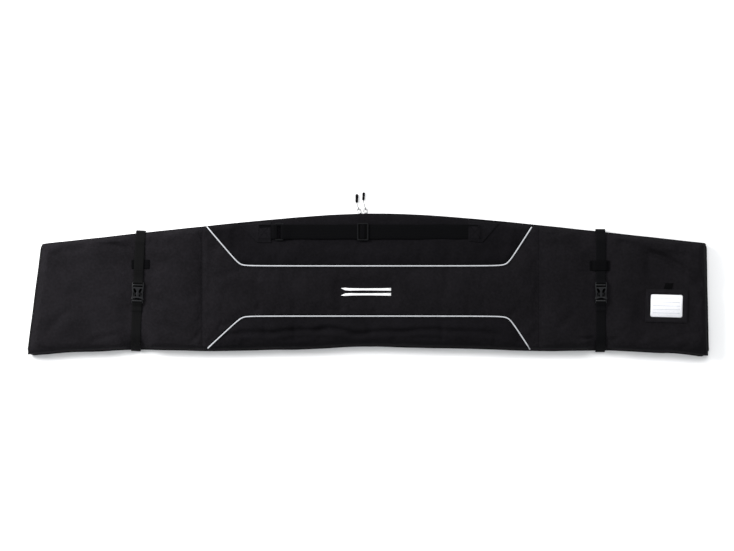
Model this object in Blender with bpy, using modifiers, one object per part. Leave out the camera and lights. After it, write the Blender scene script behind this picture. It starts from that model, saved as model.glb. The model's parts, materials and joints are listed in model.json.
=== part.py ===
"""Padded ski carry bag lying flat: shell panels, side zip, webbing handle, compression straps, card holder.

Units are metres. +X runs along the length, +Y towards the zip edge, +Z up. The floor is z = 0.
"""
import math

import bmesh
import bpy
from mathutils import Matrix, Vector

# ---------------------------------------------------------------- driving dimensions
CROWN_Z = 0.038
RIM_Z = 0.011
ZIP_RIM_SHARE = 0.52
FRONT_T = 0.005
BACK_T = 0.005
GAP = 0.0003
ROLL_BOTTOM = 0.045
ROLL_TOP = 0.030
ROLL_END = 0.050
SEAM_LEFT_X = -0.435
SEAM_RIGHT_X = 0.452

TOP_PEAK_Y = 0.1878
TOP_PEAK_X = 0.025
TOP_SLOPE = 0.1147
TOP_SOFT = 0.21

LEFT_LOW = (-0.899, -0.184)
LEFT_HIGH = (-0.861, 0.110)
RIGHT_LOW = (0.901, -0.187)
RIGHT_HIGH = (0.895, 0.110)

BOTTOM_POINTS = (
    (-0.899, -0.184), (-0.76, -0.175), (-0.60, -0.1688), (-0.42, -0.173), (-0.20, -0.169), (0.0, -0.161),
    (0.20, -0.1655), (0.47, -0.1725), (0.63, -0.1715), (0.79, -0.1777), (0.901, -0.187),
)

PIPE_R = 0.0015
PIPE_GAP = 0.0021
PIPE_UPPER_Y = 0.050
PIPE_LOWER_Y = -0.082
UPPER_KNEES = (-0.336, 1.18, 0.3685, 1.58)
LOWER_KNEES = (-0.3305, 0.93, 0.3728, 1.55)
PIPE_SOFT = 0.010

ZIP_R = 3.76
ZIP_CENTRE_X = 0.025
ZIP_PEAK_Y = 0.181
ZIP_ARC_LOW = -0.62
ZIP_ARC_HIGH = 0.64
ZIP_X0 = -0.800
ZIP_X1 = 0.815
ZIP_Z = 0.0115
SLIDER_LEFT_X = -0.018
SLIDER_RIGHT_X = -0.004

WEB_T = 0.0016
STRAP_W = 0.025
LEFT_STRAP = (-0.606, -0.0205, math.radians(-2.6))
RIGHT_STRAP = (0.6155, -0.0205, 0.0)

HANDLE_Y = 0.1405
HANDLE_W = 0.038
RING_X0 = -0.244
RING_X1 = -0.222
GLIDE_X0 = -0.0275
GLIDE_X1 = 0.0025
HANDLE_FRAME_W = 0.046

CARD_CENTRE = (0.7885, -0.0550)
CARD_W = 0.0845
CARD_H = 0.0595
CARD_TILT = math.radians(-1.5)

BLACK = (0.012, 0.012, 0.014)
GREY_PIPE = (0.42, 0.43, 0.45)


# ---------------------------------------------------------------- scene and materials
for old in list(bpy.data.objects):
    bpy.data.objects.remove(old, do_unlink=True)

PARTS = bpy.data.collections.new("ski_carry_bag")
CUTTERS = bpy.data.collections.new("cutters")
bpy.context.scene.collection.children.link(PARTS)
bpy.context.scene.collection.children.link(CUTTERS)


def material(name, colour, roughness, metallic=0.0, alpha=1.0):
    """Plain Principled material."""
    mat = bpy.data.materials.new(name)
    mat.use_nodes = True
    shader = mat.node_tree.nodes["Principled BSDF"]
    shader.inputs["Base Color"].default_value = (*colour, 1.0)
    shader.inputs["Roughness"].default_value = roughness
    shader.inputs["Metallic"].default_value = metallic
    shader.inputs["Alpha"].default_value = alpha
    return mat


def add(name, mesh, look):
    """Link a mesh as a named part with its own material."""
    obj = bpy.data.objects.new(name, mesh)
    PARTS.objects.link(obj)
    obj.data.materials.clear()
    obj.data.materials.append(material(name + "_mat", *look))
    return obj


CLOTH = (BLACK, 0.85)
WEBBING = ((0.016, 0.016, 0.018), 0.7)
PLASTIC = ((0.02, 0.02, 0.022), 0.35)
STEEL = ((0.55, 0.55, 0.57), 0.3, 1.0)


# ---------------------------------------------------------------- outline and surface height
def top_edge(x):
    """Y of the zip edge: a soft peak with straight flanks."""
    return TOP_PEAK_Y - TOP_SLOPE * (math.hypot(x - TOP_PEAK_X, TOP_SOFT) - TOP_SOFT)


def bottom_edge(x):
    """Y of the folded edge, eased between its few stations."""
    if x <= BOTTOM_POINTS[0][0]:
        return BOTTOM_POINTS[0][1]
    for (xa, ya), (xb, yb) in zip(BOTTOM_POINTS, BOTTOM_POINTS[1:]):
        if x <= xb:
            t = (x - xa) / (xb - xa)
            return ya + (yb - ya) * t * t * (3.0 - 2.0 * t)
    return BOTTOM_POINTS[-1][1]


def left_end(y):
    """X of the oblique left end."""
    return LEFT_LOW[0] + (LEFT_HIGH[0] - LEFT_LOW[0]) * (y - LEFT_LOW[1]) / (LEFT_HIGH[1] - LEFT_LOW[1])


def right_end(y):
    """X of the right end."""
    return RIGHT_LOW[0] + (RIGHT_HIGH[0] - RIGHT_LOW[0]) * (y - RIGHT_LOW[1]) / (RIGHT_HIGH[1] - RIGHT_LOW[1])


def roll(distance, width, power=2.0):
    """Share of full height at a distance from an edge."""
    t = min(max(distance / width, 0.0), 1.0)
    return 1.0 - (1.0 - t) ** power


def surface_z(x, y):
    """Height of the front of the padded shell."""
    low = roll(y - bottom_edge(x), ROLL_BOTTOM, 2.3)
    high = ZIP_RIM_SHARE + (1.0 - ZIP_RIM_SHARE) * roll(top_edge(x) - y, ROLL_TOP)
    ends = roll(x - left_end(y), ROLL_END) * roll(right_end(y) - x, ROLL_END)
    return RIM_Z + (CROWN_Z - RIM_Z) * low * high * ends


def bend(u, soft):
    """Smooth ramp: zero for negative u, u for positive u."""
    return 0.5 * (math.hypot(u, soft) + u)


def pipe_upper(x):
    """Y of the upper piping line."""
    xl, sl, xr, sr = UPPER_KNEES
    return PIPE_UPPER_Y + sl * bend(xl - x, PIPE_SOFT) + sr * bend(x - xr, PIPE_SOFT)


def pipe_lower(x):
    """Y of the lower piping line."""
    xl, sl, xr, sr = LOWER_KNEES
    return PIPE_LOWER_Y - sl * bend(xl - x, PIPE_SOFT) - sr * bend(x - xr, PIPE_SOFT)


def beside(line, x, side):
    """Y of a line's parallel, one piping gap to the side."""
    slope = (line(x + 0.0005) - line(x - 0.0005)) / 0.001
    return line(x) + side * PIPE_GAP * math.hypot(1.0, slope)


def zip_track(x):
    """Y of the zip's outer tape face: a true arc where the sliders run, straight beyond."""
    inside = min(max(x, ZIP_ARC_LOW), ZIP_ARC_HIGH)
    drop = ZIP_R - math.sqrt(ZIP_R ** 2 - (inside - ZIP_CENTRE_X) ** 2)
    return ZIP_PEAK_Y - drop - 0.1075 * abs(x - inside)


def spread(a, b, count):
    """Evenly spaced values from a to b."""
    return [a + (b - a) * i / (count - 1) for i in range(count)]


# ---------------------------------------------------------------- modelling helpers
def shade_smooth(obj, angle=40.0):
    """Smooth shading with kept sharp edges."""
    mesh = obj.data
    mesh.polygons.foreach_set("use_smooth", [True] * len(mesh.polygons))
    mesh.set_sharp_from_angle(angle=math.radians(angle))
    return obj


def outward(mesh):
    """Point every face outward."""
    bm = bmesh.new()
    bm.from_mesh(mesh)
    bmesh.ops.remove_doubles(bm, verts=bm.verts, dist=0.000001)
    bmesh.ops.recalc_face_normals(bm, faces=bm.faces)
    bm.to_mesh(mesh)
    bm.free()
    return mesh


def curve_to_mesh(curve, name):
    """Turn a curve into a closed mesh."""
    temp = bpy.data.objects.new(name + "_curve", curve)
    bpy.context.scene.collection.objects.link(temp)
    graph = bpy.context.evaluated_depsgraph_get()
    mesh = bpy.data.meshes.new_from_object(temp.evaluated_get(graph))
    bpy.data.objects.remove(temp, do_unlink=True)
    mesh.name = name
    return outward(mesh)


def sheet(name, us, vs, place, thickness, look, offset=-1.0):
    """Solidified grid whose points are given by place(u, v)."""
    bm = bmesh.new()
    bmesh.ops.create_grid(bm, x_segments=len(us) - 1, y_segments=len(vs) - 1, size=0.5)
    for vert in bm.verts:
        i = round((vert.co.x + 0.5) * (len(us) - 1))
        j = round((vert.co.y + 0.5) * (len(vs) - 1))
        vert.co = Vector(place(us[i], vs[j]))
    bm.normal_update()
    mesh = bpy.data.meshes.new(name)
    bm.to_mesh(mesh)
    bm.free()
    obj = add(name, mesh, look)
    thick = obj.modifiers.new("thickness", "SOLIDIFY")
    thick.thickness = thickness
    thick.offset = offset
    thick.use_even_offset = False
    return shade_smooth(obj)


def prism(name, outline, z0, z1, look, holes=(), corner=0.0):
    """Flat outline, with optional holes, extruded between two heights."""
    curve = bpy.data.curves.new(name, "CURVE")
    curve.dimensions = "2D"
    curve.fill_mode = "BOTH"
    curve.extrude = 0.5 * (z1 - z0)
    for loop in (outline, *holes):
        spline = curve.splines.new("POLY")
        spline.points.add(len(loop) - 1)
        for point, (x, y) in zip(spline.points, loop):
            point.co = (x, y, 0.0, 1.0)
        spline.use_cyclic_u = True
    mesh = curve_to_mesh(curve, name)
    mesh.transform(Matrix.Translation((0.0, 0.0, 0.5 * (z0 + z1))))
    obj = add(name, mesh, look)
    if corner:
        edge = obj.modifiers.new("edge", "BEVEL")
        edge.width = corner
        edge.segments = 1
        edge.limit_method = "ANGLE"
        edge.angle_limit = math.radians(60)
    return obj


def tube(name, points, radius, look, cyclic=False):
    """Round cord along a path, with filled ends."""
    curve = bpy.data.curves.new(name, "CURVE")
    curve.dimensions = "3D"
    curve.bevel_depth = radius
    curve.bevel_resolution = 1
    curve.use_fill_caps = not cyclic
    spline = curve.splines.new("POLY")
    spline.points.add(len(points) - 1)
    for point, co in zip(spline.points, points):
        point.co = (*co, 1.0)
    spline.use_cyclic_u = cyclic
    return shade_smooth(add(name, curve_to_mesh(curve, name), look), 60.0)


def rounded(x0, y0, x1, y1, radius, steps=3):
    """Rectangle outline with round corners."""
    loop = []
    corners = ((x1 - radius, y1 - radius, 0), (x0 + radius, y1 - radius, 90),
               (x0 + radius, y0 + radius, 180), (x1 - radius, y0 + radius, 270))
    for cx, cy, start in corners:
        for k in range(steps + 1):
            a = math.radians(start + 90.0 * k / steps)
            loop.append((cx + radius * math.cos(a), cy + radius * math.sin(a)))
    return loop


def oval(cx, cy, a, b, turn, steps=12):
    """Ellipse outline turned by an angle."""
    loop = []
    for k in range(steps):
        t = 2.0 * math.pi * k / steps
        px = a * math.cos(t)
        py = b * math.sin(t)
        loop.append((cx + px * math.cos(turn) - py * math.sin(turn),
                     cy + px * math.sin(turn) + py * math.cos(turn)))
    return loop


def cut(obj, low, high, place=Matrix.Identity(4)):
    """Subtract a box, given by two corners, from a part."""
    bm = bmesh.new()
    bmesh.ops.create_cube(bm, size=1.0)
    size = [high[i] - low[i] for i in range(3)]
    middle = [0.5 * (high[i] + low[i]) for i in range(3)]
    bmesh.ops.scale(bm, vec=size, verts=bm.verts)
    bmesh.ops.translate(bm, vec=middle, verts=bm.verts)
    return subtract(obj, bm, place)


def drill(obj, start, end, radius, place=Matrix.Identity(4), steps=16):
    """Subtract a round hole between two points from a part."""
    a = Vector(start)
    b = Vector(end)
    bm = bmesh.new()
    bmesh.ops.create_cone(bm, cap_ends=True, segments=steps, radius1=radius, radius2=radius,
                          depth=(b - a).length)
    turn = (b - a).to_track_quat("Z", "Y").to_matrix().to_4x4()
    bmesh.ops.transform(bm, matrix=Matrix.Translation((a + b) / 2) @ turn, verts=bm.verts)
    return subtract(obj, bm, place)


def subtract(obj, bm, place):
    """Hook a cutter mesh to a part with an exact difference."""
    bmesh.ops.transform(bm, matrix=place, verts=bm.verts)
    bmesh.ops.recalc_face_normals(bm, faces=bm.faces)
    mesh = bpy.data.meshes.new("cutter")
    bm.to_mesh(mesh)
    bm.free()
    cutter = bpy.data.objects.new("cut_" + obj.name, mesh)
    CUTTERS.objects.link(cutter)
    cutter.hide_render = True
    cutter.display_type = "WIRE"
    step = obj.modifiers.new("cut", "BOOLEAN")
    step.operation = "DIFFERENCE"
    step.solver = "EXACT"
    step.object = cutter
    return obj


def local_frame(origin_x, origin_y, angle):
    """Placement of a strap's own across/along/up frame."""
    return Matrix.Translation((origin_x, origin_y, 0.0)) @ Matrix.Rotation(angle, 4, "Z")


def settle(obj, place):
    """Put a part, built in its own frame, in its place."""
    obj.matrix_world = place
    return obj


def pivot(obj, point):
    """Put a part's origin on its joint's axis."""
    shift = obj.matrix_world.inverted() @ Vector(point)
    obj.data.transform(Matrix.Translation(-shift))
    obj.matrix_world = obj.matrix_world @ Matrix.Translation(shift)
    return obj


# ---------------------------------------------------------------- shell panels
def strip_panel(name, us, low, high, vs):
    """Front panel between two lines that run along the bag."""
    def place(x, v):
        y = low(x) + (high(x) - low(x)) * v
        return (x, y, surface_z(x, y))
    return sheet(name, us, vs, place, FRONT_T, CLOTH)


def end_panel(name, end, seam, vs, us):
    """Front panel between an end line and a straight seam across the bag."""
    def place(u, v):
        x = seam
        y = 0.0
        for _ in range(4):
            y = bottom_edge(x) + (top_edge(x) - bottom_edge(x)) * v
            x = end(y) + (seam - end(y)) * u
        return (x, y, surface_z(x, y))
    return sheet(name, us, vs, place, FRONT_T, CLOTH)


ACROSS = [0.0, 0.012, 0.028, 0.05, 0.08, 0.115, 0.15, 0.4, 0.65, 0.895, 0.92, 0.945, 0.965, 0.985, 1.0]
ALONG = [0.0, 0.012, 0.03, 0.055, 0.085, 0.12, 0.3, 0.5, 0.62, 0.7, 0.85, 1.0]
left_panel = end_panel("front_panel_left", left_end, SEAM_LEFT_X - GAP, ACROSS, ALONG)
right_panel = end_panel("front_panel_right", right_end, SEAM_RIGHT_X + GAP, ACROSS, ALONG)
right_panel.data.flip_normals()

KNEE_XS = [-0.417, -0.405, -0.39, -0.375, -0.36, -0.347, -0.336, -0.322, -0.305, -0.27, -0.2, -0.1, 0.0,
           0.1, 0.2, 0.3, 0.345, 0.357, 0.3685, 0.38, 0.392, 0.405, 0.417, 0.428]
upper_panel = strip_panel(
    "front_panel_upper", KNEE_XS, lambda x: beside(pipe_upper, x, 1.0), top_edge,
    [0.0, 0.35, 0.7, 0.78, 0.85, 0.91, 0.96, 1.0])
lower_panel = strip_panel(
    "front_panel_lower", KNEE_XS[:-1] + [0.423], bottom_edge, lambda x: beside(pipe_lower, x, -1.0),
    [0.0, 0.05, 0.11, 0.19, 0.29, 0.41, 0.53, 0.75, 1.0])


def centre_low(x):
    """Lower border of the centre panel."""
    return max(bottom_edge(x), beside(pipe_lower, x, 1.0))


def centre_high(x):
    """Upper border of the centre panel."""
    return min(top_edge(x), beside(pipe_upper, x, -1.0))


CENTRE_XS = [SEAM_LEFT_X + GAP, -0.428, -0.4235] + KNEE_XS + [0.4335, 0.443, SEAM_RIGHT_X - GAP]
centre_panel = strip_panel(
    "front_panel_centre", CENTRE_XS, centre_low, centre_high,
    [0.0, 0.015, 0.035, 0.06, 0.09, 0.13, 0.3, 0.5, 0.7, 0.88, 0.92, 0.95, 0.975, 0.99, 1.0])


def outline_loop(inset=0.0):
    """Plan outline of the bag."""
    xs = spread(-0.86, 0.894, 27)
    loop = [(x, top_edge(x) - inset) for x in reversed(xs)]
    loop.append((LEFT_LOW[0] + inset, LEFT_LOW[1] + inset))
    loop += [(x, bottom_edge(x) + inset) for x in spread(-0.87, 0.87, 25)]
    loop.append((RIGHT_LOW[0] - inset, RIGHT_LOW[1] + inset))
    return loop


back_panel = prism("back_panel", outline_loop(), 0.0, BACK_T, CLOTH)
for origin_x, origin_y, angle in (LEFT_STRAP, RIGHT_STRAP):
    cut(back_panel, (-0.0133, -0.3, -0.01), (0.0133, 0.3, 0.0023), local_frame(origin_x, origin_y, angle))


def band(xs, line, inner, outer):
    """Plan outline of a band that follows a line along the bag."""
    loop = [(x, line(x) + outer) for x in xs]
    loop += [(x, line(x) + inner) for x in reversed(xs)]
    return loop


prism("bottom_fold_tape", band(spread(-0.86, 0.865, 25), bottom_edge, 0.0015, 0.0075),
      BACK_T + GAP, 0.0066, CLOTH)
for side, end, sign in (("left", left_end, 1.0), ("right", right_end, -1.0)):
    y0 = -0.148
    y1 = 0.080
    loop = [(end(y0) + sign * 0.0015, y0), (end(y1) + sign * 0.0015, y1),
            (end(y1) + sign * 0.008, y1), (end(y0) + sign * 0.008, y0)]
    prism("end_seam_tape_" + side, loop, BACK_T + GAP, 0.0064, CLOTH)


def piping(name, line, x0, x1):
    """Light piping cord between two panels."""
    xs = [x0] + KNEE_XS[1:-1] + [x1]
    return tube(name, [(x, line(x), surface_z(x, line(x)) - 0.0001) for x in xs], PIPE_R, (GREY_PIPE, 0.5))


piping("piping_upper", pipe_upper, -0.4185, 0.4295)
piping("piping_lower", pipe_lower, -0.4185, 0.4290)


def ski_outline(y_mid, lift):
    """Side-cut ski seen from above, tip to the left."""
    upper = []
    for t in spread(0.0, 1.0, 13):
        half = 0.0036 - 0.0010 * math.sin(math.pi * t)
        if t < 0.08:
            half *= math.sqrt(t / 0.08) * 0.98 + 0.02
        upper.append((-0.070 + 0.132 * t, half, lift * (1.0 - t / 0.2) ** 2 if t < 0.2 else 0.0))
    loop = [(x, y_mid + half + up) for x, half, up in upper]
    loop += [(x, y_mid - half + up) for x, half, up in reversed(upper)]
    return loop


for name, y_mid, lift in (("mark_ski_upper", -0.0115, 0.0030), ("mark_ski_lower", -0.0245, -0.0030)):
    prism(name, ski_outline(y_mid, lift), CROWN_Z + GAP, CROWN_Z + 0.0007, ((0.8, 0.8, 0.8), 0.6))


# ---------------------------------------------------------------- side zip
def tape(name, y_in, y_out, z0, z1, look):
    """Upright ribbon that follows the zip track."""
    xs = spread(ZIP_X0, ZIP_X1, 41)
    return prism(name, band(xs, zip_track, y_in, y_out), z0, z1, look)


tape("zip_tape_lower", -0.001, 0.0, BACK_T + GAP, ZIP_Z - 0.0018, CLOTH)
tape("zip_tape_upper", -0.001, 0.0, ZIP_Z + 0.0018, 0.0205, CLOTH)
tape("zip_coil", -0.0007, 0.0022, ZIP_Z - 0.0015, ZIP_Z + 0.0015, PLASTIC)

for side, x0, x1 in (("left", -0.836, ZIP_X0 - GAP), ("right", ZIP_X1 + GAP, 0.862)):
    loop = band(spread(x0, x1, 4), lambda x: min(zip_track(x), top_edge(x) - 0.002), -0.006, 0.0)
    prism("zip_end_tab_" + side, loop, BACK_T + GAP, 0.0085, CLOTH)


def track_frame(x):
    """Placement at a point of the zip's arc: along the track, outward, up."""
    y = zip_track(x)
    angle = -math.asin((x - ZIP_CENTRE_X) / ZIP_R)
    return Matrix.Translation((x, y, ZIP_Z)) @ Matrix.Rotation(angle, 4, "Z")


LUG_OUT = 0.0078
BAIL_LEN = 0.0155
BAIL_W = 0.0088
BAIL_SLOPE = math.radians(-33.0)
WIRE_R = 0.0008
CORD_R = 0.0009


def pull(side, x, skew, yaw, lean, reach, grip_len, grip_w):
    """Slider with its wire bail, cord and moulded grip."""
    place = track_frame(x)
    slider = prism("zip_slider_" + side, rounded(-0.006, 0.0003, 0.006, 0.0050, 0.0012),
                   -0.0055, 0.0055, STEEL)
    settle(slider, place)
    cut(slider, (-0.01, -0.001, -0.0021), (0.01, 0.0029, 0.0021), place)
    lug = bmesh.new()
    bmesh.ops.create_cube(lug, size=1.0)
    bmesh.ops.scale(lug, vec=(0.0036, 0.0068, 0.0056), verts=lug.verts)
    bmesh.ops.translate(lug, vec=(0.0, 0.0074, 0.0), verts=lug.verts)
    bmesh.ops.transform(lug, matrix=place, verts=lug.verts)
    lug_mesh = bpy.data.meshes.new("lug")
    lug.to_mesh(lug_mesh)
    lug.free()
    lug_obj = bpy.data.objects.new("join_zip_slider_" + side, lug_mesh)
    CUTTERS.objects.link(lug_obj)
    lug_obj.hide_render = True
    lug_obj.display_type = "WIRE"
    join = slider.modifiers.new("lug", "BOOLEAN")
    join.operation = "UNION"
    join.solver = "EXACT"
    join.object = lug_obj
    drill(slider, (-0.01, LUG_OUT, 0.0), (0.01, LUG_OUT, 0.0), 0.0013, place)
    pivot(slider, (ZIP_CENTRE_X, ZIP_PEAK_Y - ZIP_R, ZIP_Z))

    hinge = place @ Matrix.Translation((0.0, LUG_OUT, 0.0)) @ Matrix.Rotation(BAIL_SLOPE, 4, "X")
    half = 0.5 * BAIL_W
    loop = [(-half + 0.0008, 0.0, 0.0), (half - 0.0008, 0.0, 0.0), (half, 0.0008, 0.0)]
    for k in range(0, 7):
        a = math.radians(30.0 * k)
        loop.append((half * math.cos(a), BAIL_LEN - half * 0.8 + half * 0.8 * math.sin(a), 0.0))
    loop.append((-half, 0.0008, 0.0))
    loop = [(px - skew * py, py, pz) for px, py, pz in loop]
    settle(tube("zip_bail_" + side, loop, WIRE_R, STEEL, cyclic=True), hinge)

    tip = hinge @ Vector((-skew * BAIL_LEN, BAIL_LEN, 0.0))
    aim = Matrix.Translation(tip) @ Matrix.Rotation(place.to_euler().z + yaw, 4, "Z")
    ring = WIRE_R + CORD_R + 0.0004
    path = [(0.0, 0.006, -ring * 0.9)]
    for k in range(6):
        a = math.radians(-90.0 - 36.0 * k)
        path.append((0.0, ring * math.cos(a), ring * math.sin(a)))
    floor = 0.0032 - tip.z
    path.append((0.0, 0.006, ring * 0.95))
    path.append((0.0, 0.011, 0.6 * (floor + 0.001) + 0.0008))
    path.append((0.0, 0.6 * reach + 0.4 * 0.011, floor + 0.0002))
    path.append((0.0, reach - 0.001, floor))
    path.append((-0.008 * math.sin(lean), reach + 0.008 * math.cos(lean), floor))
    settle(tube("pull_cord_" + side, path, CORD_R, ((0.45, 0.45, 0.46), 0.8)), aim)

    halfw = 0.5 * grip_w
    outline = []
    for t in spread(0.0, 1.0, 5):
        outline.append((halfw * (0.72 + 0.28 * t), grip_len * t * 0.93))
    outline.append((halfw * 0.75, grip_len))
    outline += [(-px, py) for px, py in reversed(outline)]
    grip = prism("pull_grip_" + side, outline, floor - 0.0030, floor + 0.0030, ((0.015, 0.015, 0.016), 0.55))
    hold = aim @ Matrix.Translation((0.0, reach, 0.0)) @ Matrix.Rotation(lean, 4, "Z")
    drill(grip, (0.0, -0.003, floor), (0.0, 0.0095, floor), CORD_R + 0.0005, hold)
    settle(grip, hold)


pull("left", SLIDER_LEFT_X, 0.36, math.radians(15.0), math.radians(-17.0), 0.017, 0.0230, 0.0080)
pull("right", SLIDER_RIGHT_X, 0.10, math.radians(13.0), math.radians(-17.0), 0.023, 0.0215, 0.0068)


# ---------------------------------------------------------------- compression straps
def over_surface(place, v, lift):
    """Height above the shell at a point along a strap's centre line."""
    p = place @ Vector((0.0, v, 0.0))
    return surface_z(p.x, p.y) + lift


def web(name, place, path, width=STRAP_W, thickness=WEB_T, look=WEBBING):
    """Webbing swept across its width from a path of (along, height)."""
    obj = sheet(name, [-0.5 * width, 0.5 * width], list(range(len(path))),
                lambda u, k: (u, path[k][0], path[k][1]), thickness, look, offset=0.0)
    obj.modifiers["thickness"].use_even_offset = True
    settle(obj, place)
    return obj


def edge_v(place, line):
    """Position along a strap where it meets an edge of the bag."""
    v = 0.0
    for _ in range(6):
        p = place @ Vector((0.0, v, 0.0))
        v += line(p.x) - p.y
    return v


def strap_set(side, spec, keeper_over):
    """Compression strap with keeper and side-release buckle."""
    place = local_frame(*spec)
    top = edge_v(place, top_edge)
    low = edge_v(place, bottom_edge)
    half = 0.5 * WEB_T
    under = 0.0002 + half
    lying = CROWN_Z + 0.0005 + half
    keeper_v = 0.0755 if side == "left" else 0.0715
    raised = lying if keeper_over else lying + 0.0024

    path = [(top - 0.020, under), (top + 0.0010, under), (top + 0.0045, under + 0.0015)]
    path += [(top + 0.0068, 0.006), (top + 0.0075, 0.013), (top + 0.0066, 0.021), (top + 0.0035, 0.0275)]
    for d in (0.004, 0.009, 0.015, 0.022):
        path.append((top - d, over_surface(place, top - d, 0.0022 + half)))
    path += [(top - 0.032, lying + 0.0006), (keeper_v + 0.020, raised), (keeper_v - 0.0145, raised)]
    path += [(0.0480, lying), (0.0330, lying), (0.0213, lying)]
    path += [(0.0186, lying + 0.0004), (0.0176, lying + 0.0020)]
    path += [(0.0176, 0.0444), (0.0186, 0.0456), (0.0206, 0.0460), (0.0222, 0.0457), (0.0234, 0.0450)]
    path += [(0.0246, 0.0447), (0.0260, 0.0450), (0.0277, 0.0450), (0.0294, 0.0446), (0.0312, 0.0430)]
    path += [(0.0330, 0.0417), (0.0356, 0.0412), (0.0440, 0.0412), (0.0570, 0.0412 if keeper_over else 0.0436)]
    web("strap_" + side + "_upper", place, path)

    web("strap_" + side + "_back", place, [(top - 0.0205, under), (0.0, under), (low + 0.0205, under)])

    path = [(-0.0420, 0.0393), (-0.0262, 0.0393), (-0.0232, 0.0398), (-0.0214, 0.0416), (-0.0214, 0.0440)]
    path += [(-0.0225, 0.0460), (-0.0245, 0.0466), (-0.0268, 0.0460), (-0.0300, 0.0440), (-0.0360, 0.0414)]
    path += [(-0.0460, 0.0413), (-0.0520, lying)]
    for d in (0.050, 0.042, 0.034, 0.027, 0.020, 0.014, 0.008, 0.003):
        path.append((low + d, over_surface(place, low + d, 0.0005 + half + 0.0028 * (1.0 - d / 0.05))))
    path += [(low - 0.0030, 0.0105), (low - 0.0053, 0.0062), (low - 0.0050, 0.0030)]
    path += [(low - 0.0032, under + 0.0003), (low - 0.0010, under)]
    path.append((low + 0.020, under))
    web("strap_" + side + "_lower", place, path)

    if keeper_over:
        path_k = [(-0.0260, lying), (-0.0180, lying), (-0.0155, lying + 0.0014), (-0.0138, lying + 0.0024)]
        path_k += [(-x, z) for x, z in reversed(path_k)]
        spot = place @ Matrix.Translation((0.0, keeper_v, 0.0)) @ Matrix.Rotation(-math.pi / 2, 4, "Z")
        web("strap_keeper_" + side, spot, path_k, width=0.027)
    else:
        square = Matrix.Rotation(-math.pi / 2 - spec[2], 4, "Z")
        spot = place @ Matrix.Translation((0.0025, keeper_v, 0.0)) @ square
        web("strap_keeper_" + side, spot, [(-0.025, lying), (0.025, lying)], width=0.024)

    buckle(side, place)


FEMALE_Z0 = CROWN_Z + 0.0006
FEMALE_Z1 = 0.0472
CAVITY_Z0 = 0.0406
CAVITY_Z1 = 0.0454


def mirrored(half):
    """Closed outline from its right half, listed from top to bottom."""
    return half + [(-x, y) for x, y in reversed(half)]


def buckle(side, place):
    """Side-release buckle: female with ladder lock, male with two latch prongs."""
    right = [(0.0132, 0.0286), (0.0148, 0.0274), (0.0152, 0.0255), (0.0153, 0.0120), (0.0149, 0.0070), (0.0142, 0.0020),
             (0.0139, -0.0040), (0.0144, -0.0090), (0.0153, -0.0130), (0.0160, -0.0160), (0.0160, -0.0178),
             (0.0122, -0.0172), (0.0085, -0.0150), (0.0045, -0.0137), (0.0012, -0.0133)]
    female = prism("buckle_" + side + "_female", mirrored(right), FEMALE_Z0, FEMALE_Z1, PLASTIC,
                   holes=(oval(0.0062, 0.0056, 0.0027, 0.0062, math.radians(-25.0)),
                          oval(-0.0062, 0.0056, 0.0027, 0.0062, math.radians(25.0)),
                          oval(0.0047, -0.0076, 0.0018, 0.0029, 0.0, 10),
                          oval(-0.0047, -0.0076, 0.0018, 0.0029, 0.0, 10),
                          oval(0.0100, -0.0030, 0.0013, 0.0026, math.radians(20.0), 8),
                          oval(-0.0100, -0.0030, 0.0013, 0.0026, math.radians(-20.0), 8)))
    cut(female, (-0.0131, 0.0124, 0.03), (0.0131, 0.036, 0.0423), place)
    cut(female, (-0.0129, 0.0154, 0.02), (0.0129, 0.0190, 0.07), place)
    cut(female, (-0.0130, 0.0222, 0.02), (0.0130, 0.0256, 0.07), place)
    cut(female, (-0.0127, 0.0160, 0.0443), (0.0127, 0.0240, 0.06), place)
    cut(female, (-0.0200, 0.0252, 0.0438), (0.0200, 0.0360, 0.06), place)
    cut(female, (-0.0128, -0.03, CAVITY_Z0), (0.0128, 0.0098, CAVITY_Z1), place)
    cut(female, (-0.0134, -0.031, CAVITY_Z0 - 0.0001), (0.0134, -0.0098, CAVITY_Z1 + 0.0001), place)
    cut(female, (-0.02, -0.0100, CAVITY_Z0), (0.02, 0.0035, CAVITY_Z1), place)
    settle(female, place)

    base = [(0.0100, -0.0181), (0.0146, -0.0181), (0.0150, -0.0190), (0.0150, -0.0262), (0.0138, -0.0275)]
    stem = [(0.0021, 0.0040), (0.0021, -0.0181)]
    male = prism("buckle_" + side + "_male", mirrored(stem + base), 0.0412, 0.0448, PLASTIC,
                 holes=([(-0.0129, -0.0196), (0.0129, -0.0196), (0.0129, -0.0231), (-0.0129, -0.0231)],))
    cut(male, (-0.0129, -0.0231, 0.0440), (0.0129, -0.0290, 0.05), place)
    settle(male, place)

    for tag, sign in (("a", 1.0), ("b", -1.0)):
        outer = [(0.0098, -0.0178), (0.0106, -0.0130), (0.0111, -0.0090), (0.0126, -0.0080),
                 (0.0131, -0.0055), (0.0130, -0.0010), (0.0121, 0.0030), (0.0104, 0.0062), (0.0086, 0.0072)]
        inner = [(0.0080, 0.0060), (0.0082, 0.0010), (0.0086, -0.0060), (0.0082, -0.0120), (0.0074, -0.0178)]
        outline = [(sign * x, y) for x, y in outer + inner]
        prong = prism("buckle_" + side + "_prong_" + tag, outline, 0.0414, 0.0446, PLASTIC)
        settle(prong, place)
        pivot(prong, place @ Vector((sign * 0.0086, -0.0172, 0.0430)))


strap_set("left", LEFT_STRAP, False)
strap_set("right", RIGHT_STRAP, True)


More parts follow.
